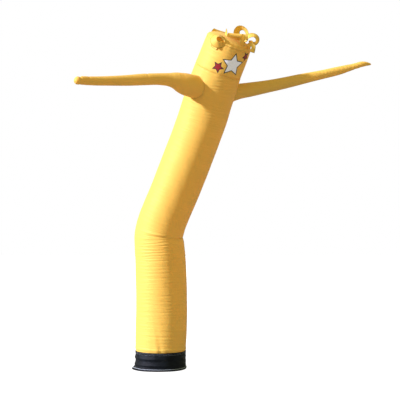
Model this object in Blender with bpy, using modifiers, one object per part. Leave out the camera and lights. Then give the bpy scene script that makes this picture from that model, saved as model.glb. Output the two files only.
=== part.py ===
"""Inflatable air dancer: a bent and leaning tube of light cloth with a head, two long tapered
arms, a dark cuff at its mouth and curled strips of cloth sewn on its crown.

Metres, +Z up. The front is -Y. The origin is the centre of the cuff's mouth, in the plane of
its hem. Left and right are those of someone who stands in front and looks at the dancer.
"""

from collections import namedtuple

import bpy
import numpy as np

# Cloth and seams
CLOTH = 0.002  # thickness of every sheet
SEAM_GAP = 0.0003  # gap between two pieces that are sewn together
SIDES = 32  # facets round the tube
ARM_SIDES = 18  # facets round an arm
AIM_REACH = 0.004  # distance each way over which a piece's direction is measured

# Heights of the seams across the tube
CUFF_TOP = 0.094
TUBE_LOW_END = 0.079  # the tube's hem, tucked inside the cuff
NECK_SEAM = 1.516
CROWN_SEAM = 1.646
CROWN_SKIRT = 0.004  # straight edge of the round top cap above its seam
CROWN_RISE = 0.034  # how far the cap bulges above that edge
CROWN_LEVELS = (0, 24, 44, 62, 77)  # rings of the bulge, degrees on its quarter ellipse

# The tube from hem to crown: one row for each cross-section, with the height, place and
# widths of the section. Across is seen from the front, deep is from front to back.
TubeRow = namedtuple("TubeRow", "z x y across deep")
TUBE = (
    TubeRow(TUBE_LOW_END, 0.001, 0.000, 0.253, 0.253),
    TubeRow(0.120, 0.002, 0.000, 0.258, 0.258),
    TubeRow(0.220, 0.005, 0.000, 0.263, 0.262),
    TubeRow(0.350, 0.006, 0.000, 0.263, 0.262),
    TubeRow(0.470, 0.003, 0.000, 0.262, 0.262),
    TubeRow(0.560, 0.000, 0.000, 0.259, 0.263),
    TubeRow(0.635, -0.005, 0.000, 0.256, 0.266),
    TubeRow(0.680, -0.007, 0.000, 0.254, 0.269),
    TubeRow(0.717, -0.001, -0.003, 0.252, 0.268),
    TubeRow(0.759, 0.011, -0.010, 0.250, 0.264),
    TubeRow(0.800, 0.027, -0.018, 0.249, 0.260),
    TubeRow(0.882, 0.062, -0.032, 0.248, 0.253),
    TubeRow(1.045, 0.127, -0.061, 0.249, 0.250),
    TubeRow(1.207, 0.190, -0.090, 0.248, 0.248),
    TubeRow(1.300, 0.223, -0.107, 0.248, 0.248),
    TubeRow(1.376, 0.246, -0.125, 0.245, 0.245),
    TubeRow(1.449, 0.270, -0.147, 0.242, 0.242),
    TubeRow(NECK_SEAM, 0.294, -0.168, 0.239, 0.239),
    TubeRow(1.580, 0.320, -0.187, 0.237, 0.237),
    TubeRow(CROWN_SEAM, 0.346, -0.208, 0.233, 0.233),
)
RING_STEP = 0.062  # spacing of the rings along a plain stretch
FOLD_STEP = 0.009  # their spacing at the waist fold
FOLD_REACH = 0.16  # how far from the fold the spacing is back to the plain one

# The waist fold, where the tube buckles on its right side: a groove along one section
WAIST = 0.680
FOLD_DEPTH = 0.015
FOLD_HALF_WIDTH = 0.013
FOLD_SPAN = 125.0  # degrees each way from the right side, where the fold runs out
FOLD_FALL = 1.5  # how early it gets shallow on the way round, 1 for a plain cosine

# Arms: one row for each cross-section, with the place of its centre and its diameter
ArmRow = namedtuple("ArmRow", "x y z size")
ARM_LEFT = (
    ArmRow(0.236, -0.166, 1.424, 0.114),
    ArmRow(0.176, -0.226, 1.429, 0.113),
    ArmRow(0.119, -0.275, 1.440, 0.104),
    ArmRow(0.085, -0.302, 1.450, 0.082),
    ArmRow(0.055, -0.322, 1.453, 0.066),
    ArmRow(0.012, -0.349, 1.453, 0.059),
    ArmRow(-0.060, -0.396, 1.447, 0.057),
    ArmRow(-0.140, -0.447, 1.437, 0.052),
    ArmRow(-0.225, -0.503, 1.429, 0.047),
    ArmRow(-0.310, -0.562, 1.423, 0.041),
    ArmRow(-0.352, -0.592, 1.422, 0.038),
    ArmRow(-0.372, -0.607, 1.420, 0.030),
    ArmRow(-0.379, -0.612, 1.420, 0.014),
)
ARM_RIGHT = (
    ArmRow(0.300, -0.102, 1.397, 0.096),
    ArmRow(0.365, -0.088, 1.411, 0.087),
    ArmRow(0.402, -0.080, 1.419, 0.078),
    ArmRow(0.458, -0.068, 1.429, 0.072),
    ArmRow(0.520, -0.053, 1.441, 0.066),
    ArmRow(0.619, -0.025, 1.463, 0.061),
    ArmRow(0.719, 0.002, 1.488, 0.055),
    ArmRow(0.835, 0.032, 1.516, 0.048),
    ArmRow(0.935, 0.060, 1.542, 0.042),
    ArmRow(1.000, 0.075, 1.561, 0.032),
    ArmRow(1.061, 0.090, 1.578, 0.026),
    ArmRow(1.088, 0.097, 1.578, 0.014),
    ArmRow(1.099, 0.100, 1.576, 0.007),
)
ARM_STEPS = 20  # rings along an arm
TIP_ROWS = 3  # rows at its end that keep a ring of their own
HAND_SEAM = 0.016  # solid sewn end beyond the hollow of each hand
ROOT_REACH = 0.010  # how far the hollow runs on past the arm's inner end

# The cuff: one row for each level, with how far its wall stands out from the plain band
CuffRow = namedtuple("CuffRow", "z out")
CUFF = (
    CuffRow(-0.010, 0.0050),
    CuffRow(0.000, 0.0045),
    CuffRow(0.010, 0.0012),
    CuffRow(0.019, 0.0000),
    CuffRow(0.028, 0.0042),
    CuffRow(0.038, 0.0008),
    CuffRow(0.050, 0.0002),
    CuffRow(0.060, 0.0040),
    CuffRow(0.071, 0.0008),
    CuffRow(0.083, 0.0000),
    CuffRow(CUFF_TOP, 0.0000),
)
CUFF_RADIUS = 0.1300
CUFF_X = 0.001
CUFF_RIDGE_SIDE = 200.0  # direction in which its ridges are strongest, degrees from +X
CUFF_FLARE = 0.014  # how far the hem kicks out on its left
CUFF_FLARE_SIDE = 188.0
CUFF_FLARE_HEIGHT = 0.034  # where the kick starts, above the hem
CUFF_FLARE_FALL = 1.5  # how much of the kick is near the hem, 1 for a straight slope
CUFF_WAVES = 5
CUFF_WAVE = 0.0018  # height of the hem's waves at the floor
TRIM_SIDE = 0.5  # side of the block that cuts the hem flat
TRIM_DEPTH = 0.1

# Hair: each strip is sewn to the crown at its root and curls in a plane of its own.
# at: where the root lies round the crown, degrees from the front towards the right
# inset: distance of the root from the crown's middle, as a share of its radius
# toward: direction across the crown in which it sets out, degrees as above
# lean: degrees that the plane of the curl leans outwards at its top
# tilt: degrees that the plane of the curl turns about the direction in which it sets out
# start: its first heading, degrees above the crown's plane
# turn: degrees that it turns along its length, up and back when positive, over when negative
# tighten: 1 turns evenly, more than 1 turns more towards the tip
# length, root_width, tip_width: of the flat strip
# cone: degrees by which the curl opens like a funnel, past the first part of its length
HairRow = namedtuple(
    "HairRow",
    "name at inset toward lean tilt start turn tighten length root_width tip_width cone",
)
HAIR = (
    HairRow("hair_loop_left", -16, 0.99, -92, -52, 10, 92, -350, 1.1, 0.160, 0.044, 0.034, -44),
    HairRow("hair_end_left", -33, 1.00, -33, 0, 8, -80, -6, 1.0, 0.038, 0.042, 0.038, 0),
    HairRow("hair_spike", -46, 0.34, -60, 0, 0, 70, 0, 1.0, 0.036, 0.030, 0.004, 0),
    HairRow("hair_roll_front", 27, 0.40, 8, 0, -14, 96, -250, 1.9, 0.072, 0.084, 0.080, 0),
    HairRow("hair_ring_top", 124, 0.76, 64, 0, -10, 58, 316, 1.3, 0.176, 0.036, 0.030, 52),
    HairRow("hair_curl_right", 76, 0.60, 88, 0, 8, 84, -336, 1.8, 0.154, 0.028, 0.026, 44),
    HairRow("hair_strip_right", 66, 0.89, 18, 0, 0, 90, -176, 0.9, 0.108, 0.026, 0.022, 0),
    HairRow("hair_tab_front", 40, 0.82, 20, 0, -18, 96, -240, 2.4, 0.114, 0.022, 0.018, 0),
    HairRow("hair_loop_back", 164, 0.94, 164, 0, 0, 24, -320, 1.0, 0.190, 0.036, 0.030, 0),
    HairRow("hair_roll_back", 205, 0.92, 200, 0, 0, 50, -200, 1.0, 0.095, 0.070, 0.064, 0),
    HairRow("hair_strip_back", 128, 1.02, 128, 0, 0, -30, -60, 0.6, 0.080, 0.040, 0.030, 0),
)
CAP_SHARE = 0.05  # size of the flat end of the shape that trims the strips
HAIR_STEP = 0.012  # spacing of the points along a strip
HAIR_SINK = 0.002  # how far a root starts inside the crown, before it is trimmed
CONE_FROM = 0.12  # share of a strip's length over which its funnel opens

# Colours, linear RGB
YELLOW = (0.85, 0.40, 0.05, 1.0)
BLACK = (0.012, 0.015, 0.018, 1.0)
CLOTH_ROUGHNESS = 0.62


def clear_scene():
    """Removes every object of the startup scene."""
    for thing in list(bpy.data.objects):
        bpy.data.objects.remove(thing, do_unlink=True)


def cloth_material(name, colour):
    """A plain Principled cloth."""
    material = bpy.data.materials.new(name)
    material.use_nodes = True
    shader = material.node_tree.nodes["Principled BSDF"]
    shader.inputs["Base Color"].default_value = colour
    shader.inputs["Roughness"].default_value = CLOTH_ROUGHNESS
    shader.inputs["Metallic"].default_value = 0.0
    return material


def unit(vectors):
    """The vectors scaled to length 1."""
    return vectors / np.linalg.norm(vectors, axis=-1, keepdims=True)


def smooth(at, knots, values):
    """A cubic Hermite curve through the knots, with slopes from each knot's two neighbours."""
    at = np.asarray(at, float)
    knots = np.asarray(knots, float)
    values = np.asarray(values, float)
    slopes = np.gradient(values, knots, axis=0)
    span = np.clip(np.searchsorted(knots, at, side="right") - 1, 0, len(knots) - 2)
    width = knots[span + 1] - knots[span]
    t = (at - knots[span]) / width
    if values.ndim > 1:
        width, t = width[:, None], t[:, None]
    from_low = values[span] * (1 + 2 * t) * (1 - t) ** 2 + slopes[span] * width * t * (1 - t) ** 2
    from_high = values[span + 1] * t**2 * (3 - 2 * t) + slopes[span + 1] * width * t**2 * (t - 1)
    return from_low + from_high


def round_angles(count):
    """Directions round a section, from its right side towards its back."""
    return np.linspace(0, 2 * np.pi, count, endpoint=False)


def tube_frame(z):
    """Centre, axis direction, right and back directions of the tube's sections at heights z."""
    knots = [row.z for row in TUBE]
    places = [(row.x, row.y, row.z) for row in TUBE]
    centre = smooth(z, knots, places)
    ahead = smooth(np.clip(z + AIM_REACH, knots[0], knots[-1]), knots, places)
    behind = smooth(np.clip(z - AIM_REACH, knots[0], knots[-1]), knots, places)
    axis = unit(ahead - behind)
    right = unit(np.array([1.0, 0.0, 0.0]) - axis[:, :1] * axis)
    return centre, axis, right, np.cross(axis, right)


def waist_fold(z, angles):
    """Depth of the waist fold at each height and direction."""
    from_right = np.degrees(np.abs((angles + np.pi) % (2 * np.pi) - np.pi))
    round_share = np.cos(np.clip(from_right / FOLD_SPAN, 0, 1) * np.pi / 2) ** FOLD_FALL
    along_share = np.exp(-(((z - WAIST) / FOLD_HALF_WIDTH) ** 2))
    return FOLD_DEPTH * along_share[:, None] * round_share[None, :]


def tube_surface(z, angles, grow=0.0):
    """Points of the tube's outer face, rings by directions, pushed out by grow."""
    z = np.asarray(z, float)
    centre, _, right, back = tube_frame(z)
    knots = [row.z for row in TUBE]
    half_across = smooth(z, knots, [row.across / 2 for row in TUBE])
    half_deep = smooth(z, knots, [row.deep / 2 for row in TUBE])
    fold = waist_fold(z, angles)
    reach_right = (half_across[:, None] - fold + grow) * np.cos(angles)
    reach_back = (half_deep[:, None] - fold + grow) * np.sin(angles)
    return (
        centre[:, None, :]
        + reach_right[..., None] * right[:, None, :]
        + reach_back[..., None] * back[:, None, :]
    )


def dome_surface(angles, grow=0.0):
    """Points of the crown's outer face and its top: a straight edge, then a quarter ellipse."""
    centre, axis, right, back = tube_frame(np.array([CROWN_SEAM]))
    levels = np.radians(CROWN_LEVELS)
    rise = CROWN_RISE + grow
    height = np.concatenate([[SEAM_GAP], CROWN_SKIRT + rise * np.sin(levels)])
    radius = (TUBE[-1].across / 2 + grow) * np.concatenate([[1.0], np.cos(levels)])
    spokes = np.cos(angles)[:, None] * right + np.sin(angles)[:, None] * back
    rings = centre + height[:, None, None] * axis + radius[:, None, None] * spokes
    return rings, (centre + (CROWN_SKIRT + rise) * axis)[0]


def ring_heights(low, high):
    """Heights of the rings between two seams, close together at the waist fold."""
    heights = [low]
    while heights[-1] < high:
        away = min(1.0, abs(heights[-1] - WAIST) / FOLD_REACH)
        heights.append(heights[-1] + FOLD_STEP + (RING_STEP - FOLD_STEP) * away)
    heights = np.array(heights)
    return low + (heights - low) * (high - low) / (heights[-1] - low)


def grid_faces(rings, around, closed=True):
    """Quads of a grid whose rings run round, facing outwards when the rings run upwards."""
    faces = []
    for ring in range(rings - 1):
        for side in range(around if closed else around - 1):
            beside = (side + 1) % around
            low, high = ring * around, (ring + 1) * around
            faces.append((low + side, low + beside, high + beside, high + side))
    return faces


def mesh_object(name, points, faces, collection, material=None):
    """A new mesh object at the origin."""
    mesh = bpy.data.meshes.new(name)
    mesh.from_pydata([tuple(point) for point in points], [], faces)
    mesh.update()
    made = bpy.data.objects.new(name, mesh)
    collection.objects.link(made)
    if material:
        mesh.materials.append(material)
        mesh.shade_smooth()
    return made


def open_tube(name, grid, collection, material, pole=None):
    """An open sheet lofted through the rings, closed at its top by a pole where one is given."""
    rings, around = grid.shape[:2]
    points = list(grid.reshape(-1, 3))
    faces = grid_faces(rings, around)
    if pole is not None:
        last = (rings - 1) * around
        points.append(pole)
        faces += [
            (last + side, last + (side + 1) % around, rings * around)
            for side in range(around)
        ]
    return mesh_object(name, points, faces, collection, material)


def closed_loft(name, grid, collection, material=None):
    """A closed solid lofted through the rings, with a flat face at each end."""
    rings, around = grid.shape[:2]
    faces = grid_faces(rings, around)
    faces.append(tuple(range(around))[::-1])
    faces.append(tuple((rings - 1) * around + side for side in range(around)))
    return mesh_object(name, grid.reshape(-1, 3), faces, collection, material)


def as_cutter(thing):
    """Marks an object as a cutting shape, which isn't part of the dancer."""
    thing.hide_render = True
    thing.display_type = "WIRE"
    return thing


def make_sheet_solid(thing, offset=-1.0):
    """Gives an open sheet the cloth's thickness, inwards unless the offset says otherwise."""
    solidify = thing.modifiers.new("Cloth thickness", "SOLIDIFY")
    solidify.thickness = CLOTH
    solidify.offset = offset
    solidify.use_even_offset = offset < 0


def cut(thing, cutter):
    """Cuts the cutter's volume out of the object."""
    boolean = thing.modifiers.new("Cut " + cutter.name, "BOOLEAN")
    boolean.operation = "DIFFERENCE"
    boolean.solver = "EXACT"
    boolean.object = cutter


def make_tube_pieces(parts, yellow):
    """The body, head and crown: three pieces of one round tube, sewn end to end."""
    angles = round_angles(SIDES)
    half_gap = SEAM_GAP / 2
    body = open_tube(
        "body",
        tube_surface(ring_heights(TUBE_LOW_END, NECK_SEAM - half_gap), angles),
        parts,
        yellow,
    )
    head = open_tube(
        "head",
        tube_surface(ring_heights(NECK_SEAM + half_gap, CROWN_SEAM), angles),
        parts,
        yellow,
    )
    dome, top = dome_surface(angles)
    crown = open_tube("crown", dome, parts, yellow, pole=top)
    for piece in (body, head, crown):
        make_sheet_solid(piece)
    return body


def arm_path(rows, count):
    """Centres, diameters and frames of an arm's rings, evenly spaced along its length."""
    places = np.array([(row.x, row.y, row.z) for row in rows])
    steps = np.linalg.norm(np.diff(places, axis=0), axis=1)
    knots = np.concatenate([[0.0], np.cumsum(steps)])
    at = np.linspace(0.0, knots[-1], count)
    at = np.sort(np.concatenate([at[:-1], knots[-TIP_ROWS:]]))
    centre = smooth(at, knots, places)
    size = smooth(at, knots, [row.size for row in rows])
    ahead = smooth(np.clip(at + AIM_REACH, 0, knots[-1]), knots, places)
    behind = smooth(np.clip(at - AIM_REACH, 0, knots[-1]), knots, places)
    axis = unit(ahead - behind)
    up = unit(np.array([0.0, 0.0, 1.0]) - axis[:, 2:] * axis)
    return at, centre, size, axis, up, np.cross(axis, up)


def arm_rings(path, angles, inset=0.0):
    """Points of an arm's rings, drawn in by inset."""
    _, centre, size, _, up, side = path
    radius = size / 2 - inset
    return (
        centre[:, None, :]
        + (radius[:, None] * np.cos(angles))[..., None] * up[:, None, :]
        + (radius[:, None] * np.sin(angles))[..., None] * side[:, None, :]
    )


def make_arm(name, rows, body, parts, cutters, yellow, body_form):
    """A tapered, closed arm, hollow up to its hand and open into the body."""
    angles = round_angles(ARM_SIDES)
    path = arm_path(rows, ARM_STEPS)
    arm = closed_loft(name, arm_rings(path, angles), parts, yellow)
    at, _, size, axis, _, _ = path
    hollow = (at <= at[-1] - HAND_SEAM) & (size / 2 > 2 * CLOTH)
    inner = arm_rings(path, angles, CLOTH)[hollow]
    inner[0] -= ROOT_REACH * axis[0]
    core = as_cutter(closed_loft(name + "_hollow", inner, cutters))
    cut(arm, core)
    cut(arm, body_form)
    cut(body, core)


def make_cuff(parts, cutters, black):
    """The dark band at the tube's mouth: ridged on one side, with a wavy hem that kicks out."""
    angles = round_angles(SIDES)
    levels = np.array([row.z for row in CUFF])
    ridge_side = 0.5 + 0.5 * np.cos(angles - np.radians(CUFF_RIDGE_SIDE))
    low = np.clip(1 - levels / CUFF_FLARE_HEIGHT, 0, None) ** CUFF_FLARE_FALL
    low = np.minimum(low, 1.0)
    flare_side = np.clip(np.cos(angles - np.radians(CUFF_FLARE_SIDE)), 0, None) ** 2
    radius = (
        CUFF_RADIUS
        + np.array([row.out for row in CUFF])[:, None] * ridge_side
        + CUFF_FLARE * low[:, None] * flare_side
        + CUFF_WAVE * low[:, None] * np.sin(CUFF_WAVES * angles)
    )
    rings = np.stack(
        [
            CUFF_X + radius * np.cos(angles),
            radius * np.sin(angles),
            np.broadcast_to(levels[:, None], radius.shape),
        ],
        axis=-1,
    )
    cuff = open_tube("cuff", rings, parts, black)
    make_sheet_solid(cuff)
    bpy.ops.mesh.primitive_cube_add(size=1.0, location=(0.0, 0.0, -TRIM_DEPTH / 2))
    block = bpy.context.object
    block.name = "below_the_hem"
    block.scale = (TRIM_SIDE, TRIM_SIDE, TRIM_DEPTH)
    bpy.ops.object.transform_apply(location=False, rotation=False, scale=True)
    for holder in list(block.users_collection):
        holder.objects.unlink(block)
    cutters.objects.link(block)
    cut(cuff, as_cutter(block))


def crown_direction(azimuth, right, back):
    """Direction across the crown at an azimuth from the front towards the right."""
    return np.sin(np.radians(azimuth)) * right - np.cos(np.radians(azimuth)) * back


def hair_line(row):
    """Points along a strip's middle, and the direction of its width at each."""
    centre, axis, right, back = (part[0] for part in tube_frame(np.array([CROWN_SEAM])))
    radius = TUBE[-1].across / 2
    share = min(row.inset, 1.0)
    outwards = crown_direction(row.at, right, back)
    onwards = crown_direction(row.toward, right, back)
    lean = np.radians(row.lean)
    upwards = np.cos(lean) * axis + np.sin(lean) * outwards
    upwards = unit(upwards - upwards.dot(onwards) * onwards)
    tilt = np.radians(row.tilt)
    upwards = np.cos(tilt) * upwards + np.sin(tilt) * np.cross(upwards, onwards)
    height = CROWN_SKIRT + CROWN_RISE * np.sqrt(1 - share**2) - HAIR_SINK * (1 - share)
    root = centre + (row.inset * radius - HAIR_SINK * share) * outwards + height * axis
    count = int(round(row.length / HAIR_STEP)) + 1
    middles = (np.arange(count - 1) + 0.5) / (count - 1)
    heading = np.radians(row.start + row.turn * middles**row.tighten)
    step = row.length / (count - 1)
    ahead = np.concatenate([[0.0], np.cumsum(np.cos(heading))]) * step
    above = np.concatenate([[0.0], np.cumsum(np.sin(heading))]) * step
    line = root + ahead[:, None] * onwards + above[:, None] * upwards
    across = np.broadcast_to(np.cross(upwards, onwards), line.shape)
    inwards = unit(np.cross(np.gradient(line, axis=0), across))
    opened = np.clip(np.linspace(0, 1, count) / CONE_FROM, 0, 1)[:, None]
    cone = np.radians(row.cone) * opened**2 * (3 - 2 * opened)
    return line, np.cos(cone) * across + np.sin(cone) * inwards


def make_hair(parts, yellow, head_form):
    """The strips of cloth on the crown, each trimmed where it meets the crown or the head."""
    for row in HAIR:
        line, sideways = hair_line(row)
        count = len(line)
        half = np.linspace(row.root_width, row.tip_width, count)[:, None] / 2
        grid = np.stack([line - half * sideways, line + half * sideways], axis=1)
        strip = mesh_object(
            row.name,
            grid.reshape(-1, 3),
            grid_faces(count, 2, closed=False),
            parts,
            yellow,
        )
        make_sheet_solid(strip, offset=0.0)
        cut(strip, head_form)


def main():
    clear_scene()
    parts = bpy.data.collections.new("Air dancer")
    cutters = bpy.data.collections.new("Cutters")
    bpy.context.scene.collection.children.link(parts)
    bpy.context.scene.collection.children.link(cutters)
    cutters.hide_render = True
    yellow = cloth_material("Yellow cloth", YELLOW)
    black = cloth_material("Black cloth", BLACK)

    angles = round_angles(SIDES)
    body_form = as_cutter(
        closed_loft(
            "body_form",
            tube_surface(ring_heights(WAIST, NECK_SEAM), angles, grow=SEAM_GAP),
            cutters,
        )
    )
    dome, top = dome_surface(angles, grow=SEAM_GAP)
    head = tube_surface(ring_heights(NECK_SEAM, CROWN_SEAM), angles, grow=SEAM_GAP)
    cap = top + (dome[-1] - top) * CAP_SHARE
    head_form = as_cutter(
        closed_loft("head_form", np.concatenate([head, dome, cap[None]]), cutters)
    )

    body = make_tube_pieces(parts, yellow)
    make_arm("arm_left", ARM_LEFT, body, parts, cutters, yellow, body_form)
    make_arm("arm_right", ARM_RIGHT, body, parts, cutters, yellow, body_form)
    make_cuff(parts, cutters, black)
    make_hair(parts, yellow, head_form)


main()
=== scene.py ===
"""The looks of an inflatable air dancer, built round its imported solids.

Metres, +Z up, and the front is -Y. The origin is the centre of the cuff's mouth. Left and right
are those of someone who stands in front. Directions round the tube are angles from its right
side, over its back at 90 degrees and its left side at 180, to its front at 270 degrees.

The factors inside the sines of a phase have no meaning but to make folds uneven.
"""

import logging
from dataclasses import dataclass
from enum import Enum
from typing import NamedTuple

import bpy
import numpy as np
from bpy.types import ID, Material, Node, NodeSocket, NodeTree, Object
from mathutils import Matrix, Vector


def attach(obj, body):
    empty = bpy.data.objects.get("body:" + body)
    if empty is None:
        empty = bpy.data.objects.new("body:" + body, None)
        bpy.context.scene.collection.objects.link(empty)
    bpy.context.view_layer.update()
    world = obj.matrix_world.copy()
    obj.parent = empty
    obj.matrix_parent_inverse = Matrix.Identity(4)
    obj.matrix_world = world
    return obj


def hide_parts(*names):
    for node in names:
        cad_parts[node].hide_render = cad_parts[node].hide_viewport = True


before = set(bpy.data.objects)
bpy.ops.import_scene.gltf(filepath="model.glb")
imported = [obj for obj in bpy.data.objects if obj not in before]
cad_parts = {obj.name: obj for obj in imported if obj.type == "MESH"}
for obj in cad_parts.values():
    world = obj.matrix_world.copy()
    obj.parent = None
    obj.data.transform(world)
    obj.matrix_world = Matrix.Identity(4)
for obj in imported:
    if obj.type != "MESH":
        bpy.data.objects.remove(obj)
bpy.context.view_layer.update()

LOG = logging.getLogger("air_dancer")
BODY = "root"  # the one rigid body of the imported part
TURN = 2 * np.pi
BACK = np.pi / 2  # direction of the lengthwise seams, where each grid starts and ends
FRONT = 3 * np.pi / 2
CUFF_TOP = 0.094  # heights of the seams across the tube, on its middle line
NECK = 1.516
CROWN_SEAM = 1.646
NYLON_THICKNESS = 0.0010  # more than the real 0.1 mm, so that an edge shows
WHITE = (1.0, 1.0, 1.0, 1.0)


class Held(Enum):
    """How a piece of cloth is held in shape."""

    STRETCHED = "stretched"
    HUNG = "hung"


class Slot(Enum):
    """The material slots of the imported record."""

    YELLOW = "yellow_cloth"
    BLACK = "black_cloth"


class Side(Enum):
    """Which arm, as seen from the front."""

    LEFT = "left"
    RIGHT = "right"


class TubeRow(NamedTuple):
    """One cross-section of the tube: its height, the place of its centre and its widths."""

    z: float
    x: float
    y: float
    across: float
    deep: float


class ArmRow(NamedTuple):
    """One cross-section of an arm: the place of its centre and its diameter."""

    x: float
    y: float
    z: float
    size: float


class CuffRow(NamedTuple):
    """One level of the cuff, and how far its wall stands out there from a plain band."""

    z: float
    out: float


class HairRow(NamedTuple):
    """One strip of hair: where it is sewn on, how it curls, and its size flat.

    at and toward are degrees round the crown from the front to the right; inset is the root's
    distance from the crown's middle as a share of its radius; lean tips the plane of the curl
    outwards; tilt turns that plane about its own onward direction; start is the first heading
    above the crown, and turn is how far it turns along its length, later on when tighten is
    over 1; cone opens the curl like a funnel.
    """

    name: str
    at: float
    inset: float
    toward: float
    lean: float
    tilt: float
    start: float
    turn: float
    tighten: float
    length: float
    root_width: float
    tip_width: float
    cone: float


def unit(vectors: np.ndarray) -> np.ndarray:
    """The vectors scaled to length 1."""
    return vectors / np.linalg.norm(vectors, axis=-1, keepdims=True)


def smooth(at: np.ndarray, knots: list, values: list) -> np.ndarray:
    """A cubic Hermite curve through the knots, with slopes from each knot's two neighbours.

    Args:
        at: Where the curve is read.
        knots: Rising places of the given values.
        values: One number or one row of numbers for each knot.

    Returns:
        The curve's value or row of values at each place.
    """
    at, knots, values = (np.asarray(part, float) for part in (at, knots, values))
    slopes = np.gradient(values, knots, axis=0)
    span = np.clip(np.searchsorted(knots, at, side="right") - 1, 0, len(knots) - 2)
    width = knots[span + 1] - knots[span]
    t = (at - knots[span]) / width
    if values.ndim > 1:
        width, t = width[:, None], t[:, None]
    from_low = values[span] * (1 + 2 * t) * (1 - t) ** 2 + slopes[span] * width * t * (1 - t) ** 2
    from_high = values[span + 1] * t**2 * (3 - 2 * t) + slopes[span + 1] * width * t**2 * (t - 1)
    return from_low + from_high


def ease(value: np.ndarray, low: float, high: float) -> np.ndarray:
    """0 below low, 1 above high, and a smooth step in between."""
    t = np.clip((value - low) / (high - low), 0, 1)
    return t * t * (3 - 2 * t)


def bell(value: np.ndarray, width: float) -> np.ndarray:
    """A bell curve of height 1 round 0, down to 0.37 at the width."""
    return np.exp(-((value / width) ** 2))


def troughs(phase: np.ndarray) -> np.ndarray:
    """Narrow troughs between wide flat crests: minus the fourth power of half a sine and a half."""
    return -((0.5 + 0.5 * np.sin(phase)) ** 4)


def turned_from(angles: np.ndarray, direction: float) -> np.ndarray:
    """Signed angle from a direction, from -pi to pi."""
    return (angles - direction + np.pi) % TURN - np.pi


def closed_columns(angles: np.ndarray) -> np.ndarray:
    """The same directions with the first one again at the end, a whole turn on."""
    return np.append(angles, angles[0] + TURN)


def ring_directions(start: float, count: int) -> np.ndarray:
    """Even directions round a ring from a start, without the last, which is the first again."""
    return start + np.linspace(0, TURN, count, endpoint=False)


def read_rows(at: np.ndarray, along: np.ndarray, rows: np.ndarray) -> np.ndarray:
    """Rows of three numbers, read in straight lines between their places along."""
    return np.stack([np.interp(at, along, rows[:, k]) for k in range(3)], axis=1)


def summed_steps(places: np.ndarray) -> np.ndarray:
    """Distance of each point from the first, along the straight lines that join them."""
    return np.concatenate([[0.0], np.cumsum(np.linalg.norm(np.diff(places, axis=0), axis=1))])


def spread(start: np.ndarray, *parts: tuple[np.ndarray, np.ndarray]) -> np.ndarray:
    """Rows of points: each row's start plus lengths times that row's directions.

    Args:
        start: One point for each row.
        parts: Pairs of lengths, rows by columns, and directions, one for each row.

    Returns:
        Rows by columns by three numbers.
    """
    total = start[:, None, :]
    for lengths, directions in parts:
        total = total + lengths[..., None] * directions[:, None, :]
    return total


def hex_colour(code: str) -> tuple[float, float, float, float]:
    """An sRGB hex colour as linear RGBA.

    Args:
        code: Six hex digits after a hash sign.

    Returns:
        Red, green and blue from 0 to 1, and an alpha of 1.
    """
    srgb = np.array([int(code[i : i + 2], 16) for i in (1, 3, 5)]) / 255
    linear = np.where(srgb <= 0.04045, srgb / 12.92, ((srgb + 0.055) / 1.055) ** 2.4)
    return (*(float(part) for part in linear), 1.0)


def add_node(tree: NodeTree, kind: str, inputs: dict | None = None, **settings: str) -> Node:
    """Adds one node with its settings, values and links.

    Args:
        tree: The node tree that gets it.
        kind: Its type after the word ShaderNode, such as Math.
        inputs: For an input's name or number, the socket to link to it or the value to set.
        settings: Properties to set on the node.

    Returns:
        The new node.
    """
    node = tree.nodes.new("ShaderNode" + kind)
    for key, value in settings.items():
        setattr(node, key, value)
    for key, value in (inputs or {}).items():
        if isinstance(value, NodeSocket):
            tree.links.new(value, node.inputs[key])
        else:
            node.inputs[key].default_value = value
    return node


def new_material(name: str) -> tuple[Material, NodeTree]:
    """An empty node material.

    Args:
        name: Its name.

    Returns:
        The material and its tree.
    """
    material = bpy.data.materials.new(name)
    material.use_nodes = True
    material.node_tree.nodes.clear()
    return material, material.node_tree


def add_object(name: str, data: ID) -> Object:
    """A new object in the scene, at the origin.

    Args:
        name: Its name.
        data: Its mesh, lamp or camera.

    Returns:
        The object.
    """
    made = bpy.data.objects.new(name, data)
    bpy.context.scene.collection.objects.link(made)
    return made


def grid_faces(rows: int, around: int, closed: bool) -> np.ndarray:
    """Quads of a grid of rows, facing outwards when rows run upwards and round from the right.

    Args:
        rows: Number of rows.
        around: Number of points in a row.
        closed: Whether each row closes into a ring.

    Returns:
        Four point numbers for each quad.
    """
    sides = np.arange(around if closed else around - 1)
    row, side = (part.ravel() for part in np.meshgrid(np.arange(rows - 1), sides, indexing="ij"))
    beside = (side + 1) % around
    low, high = row * around, (row + 1) * around
    return np.stack([low + side, low + beside, high + beside, high + side], axis=1)


def pole_faces(rows: int, around: int) -> np.ndarray:
    """Triangles from the last ring of a closed grid to the one point numbered after it."""
    last, side = (rows - 1) * around, np.arange(around)
    return np.stack([last + side, last + (side + 1) % around, np.full(around, rows * around)], axis=1)


def grid_uv(u: np.ndarray, v: np.ndarray) -> np.ndarray:
    """Places on the flat cloth for the corners of grid_faces, in metres.

    Args:
        u: Place across the cloth, rows by columns, with one more column than points if closed.
        v: Place along the cloth, in the same layout.

    Returns:
        Two numbers for each corner of each quad.
    """
    place = np.stack([u, v], axis=-1)
    corners = [place[:-1, :-1], place[:-1, 1:], place[1:, 1:], place[1:, :-1]]
    return np.stack(corners, axis=2).reshape(-1, 2)


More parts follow.
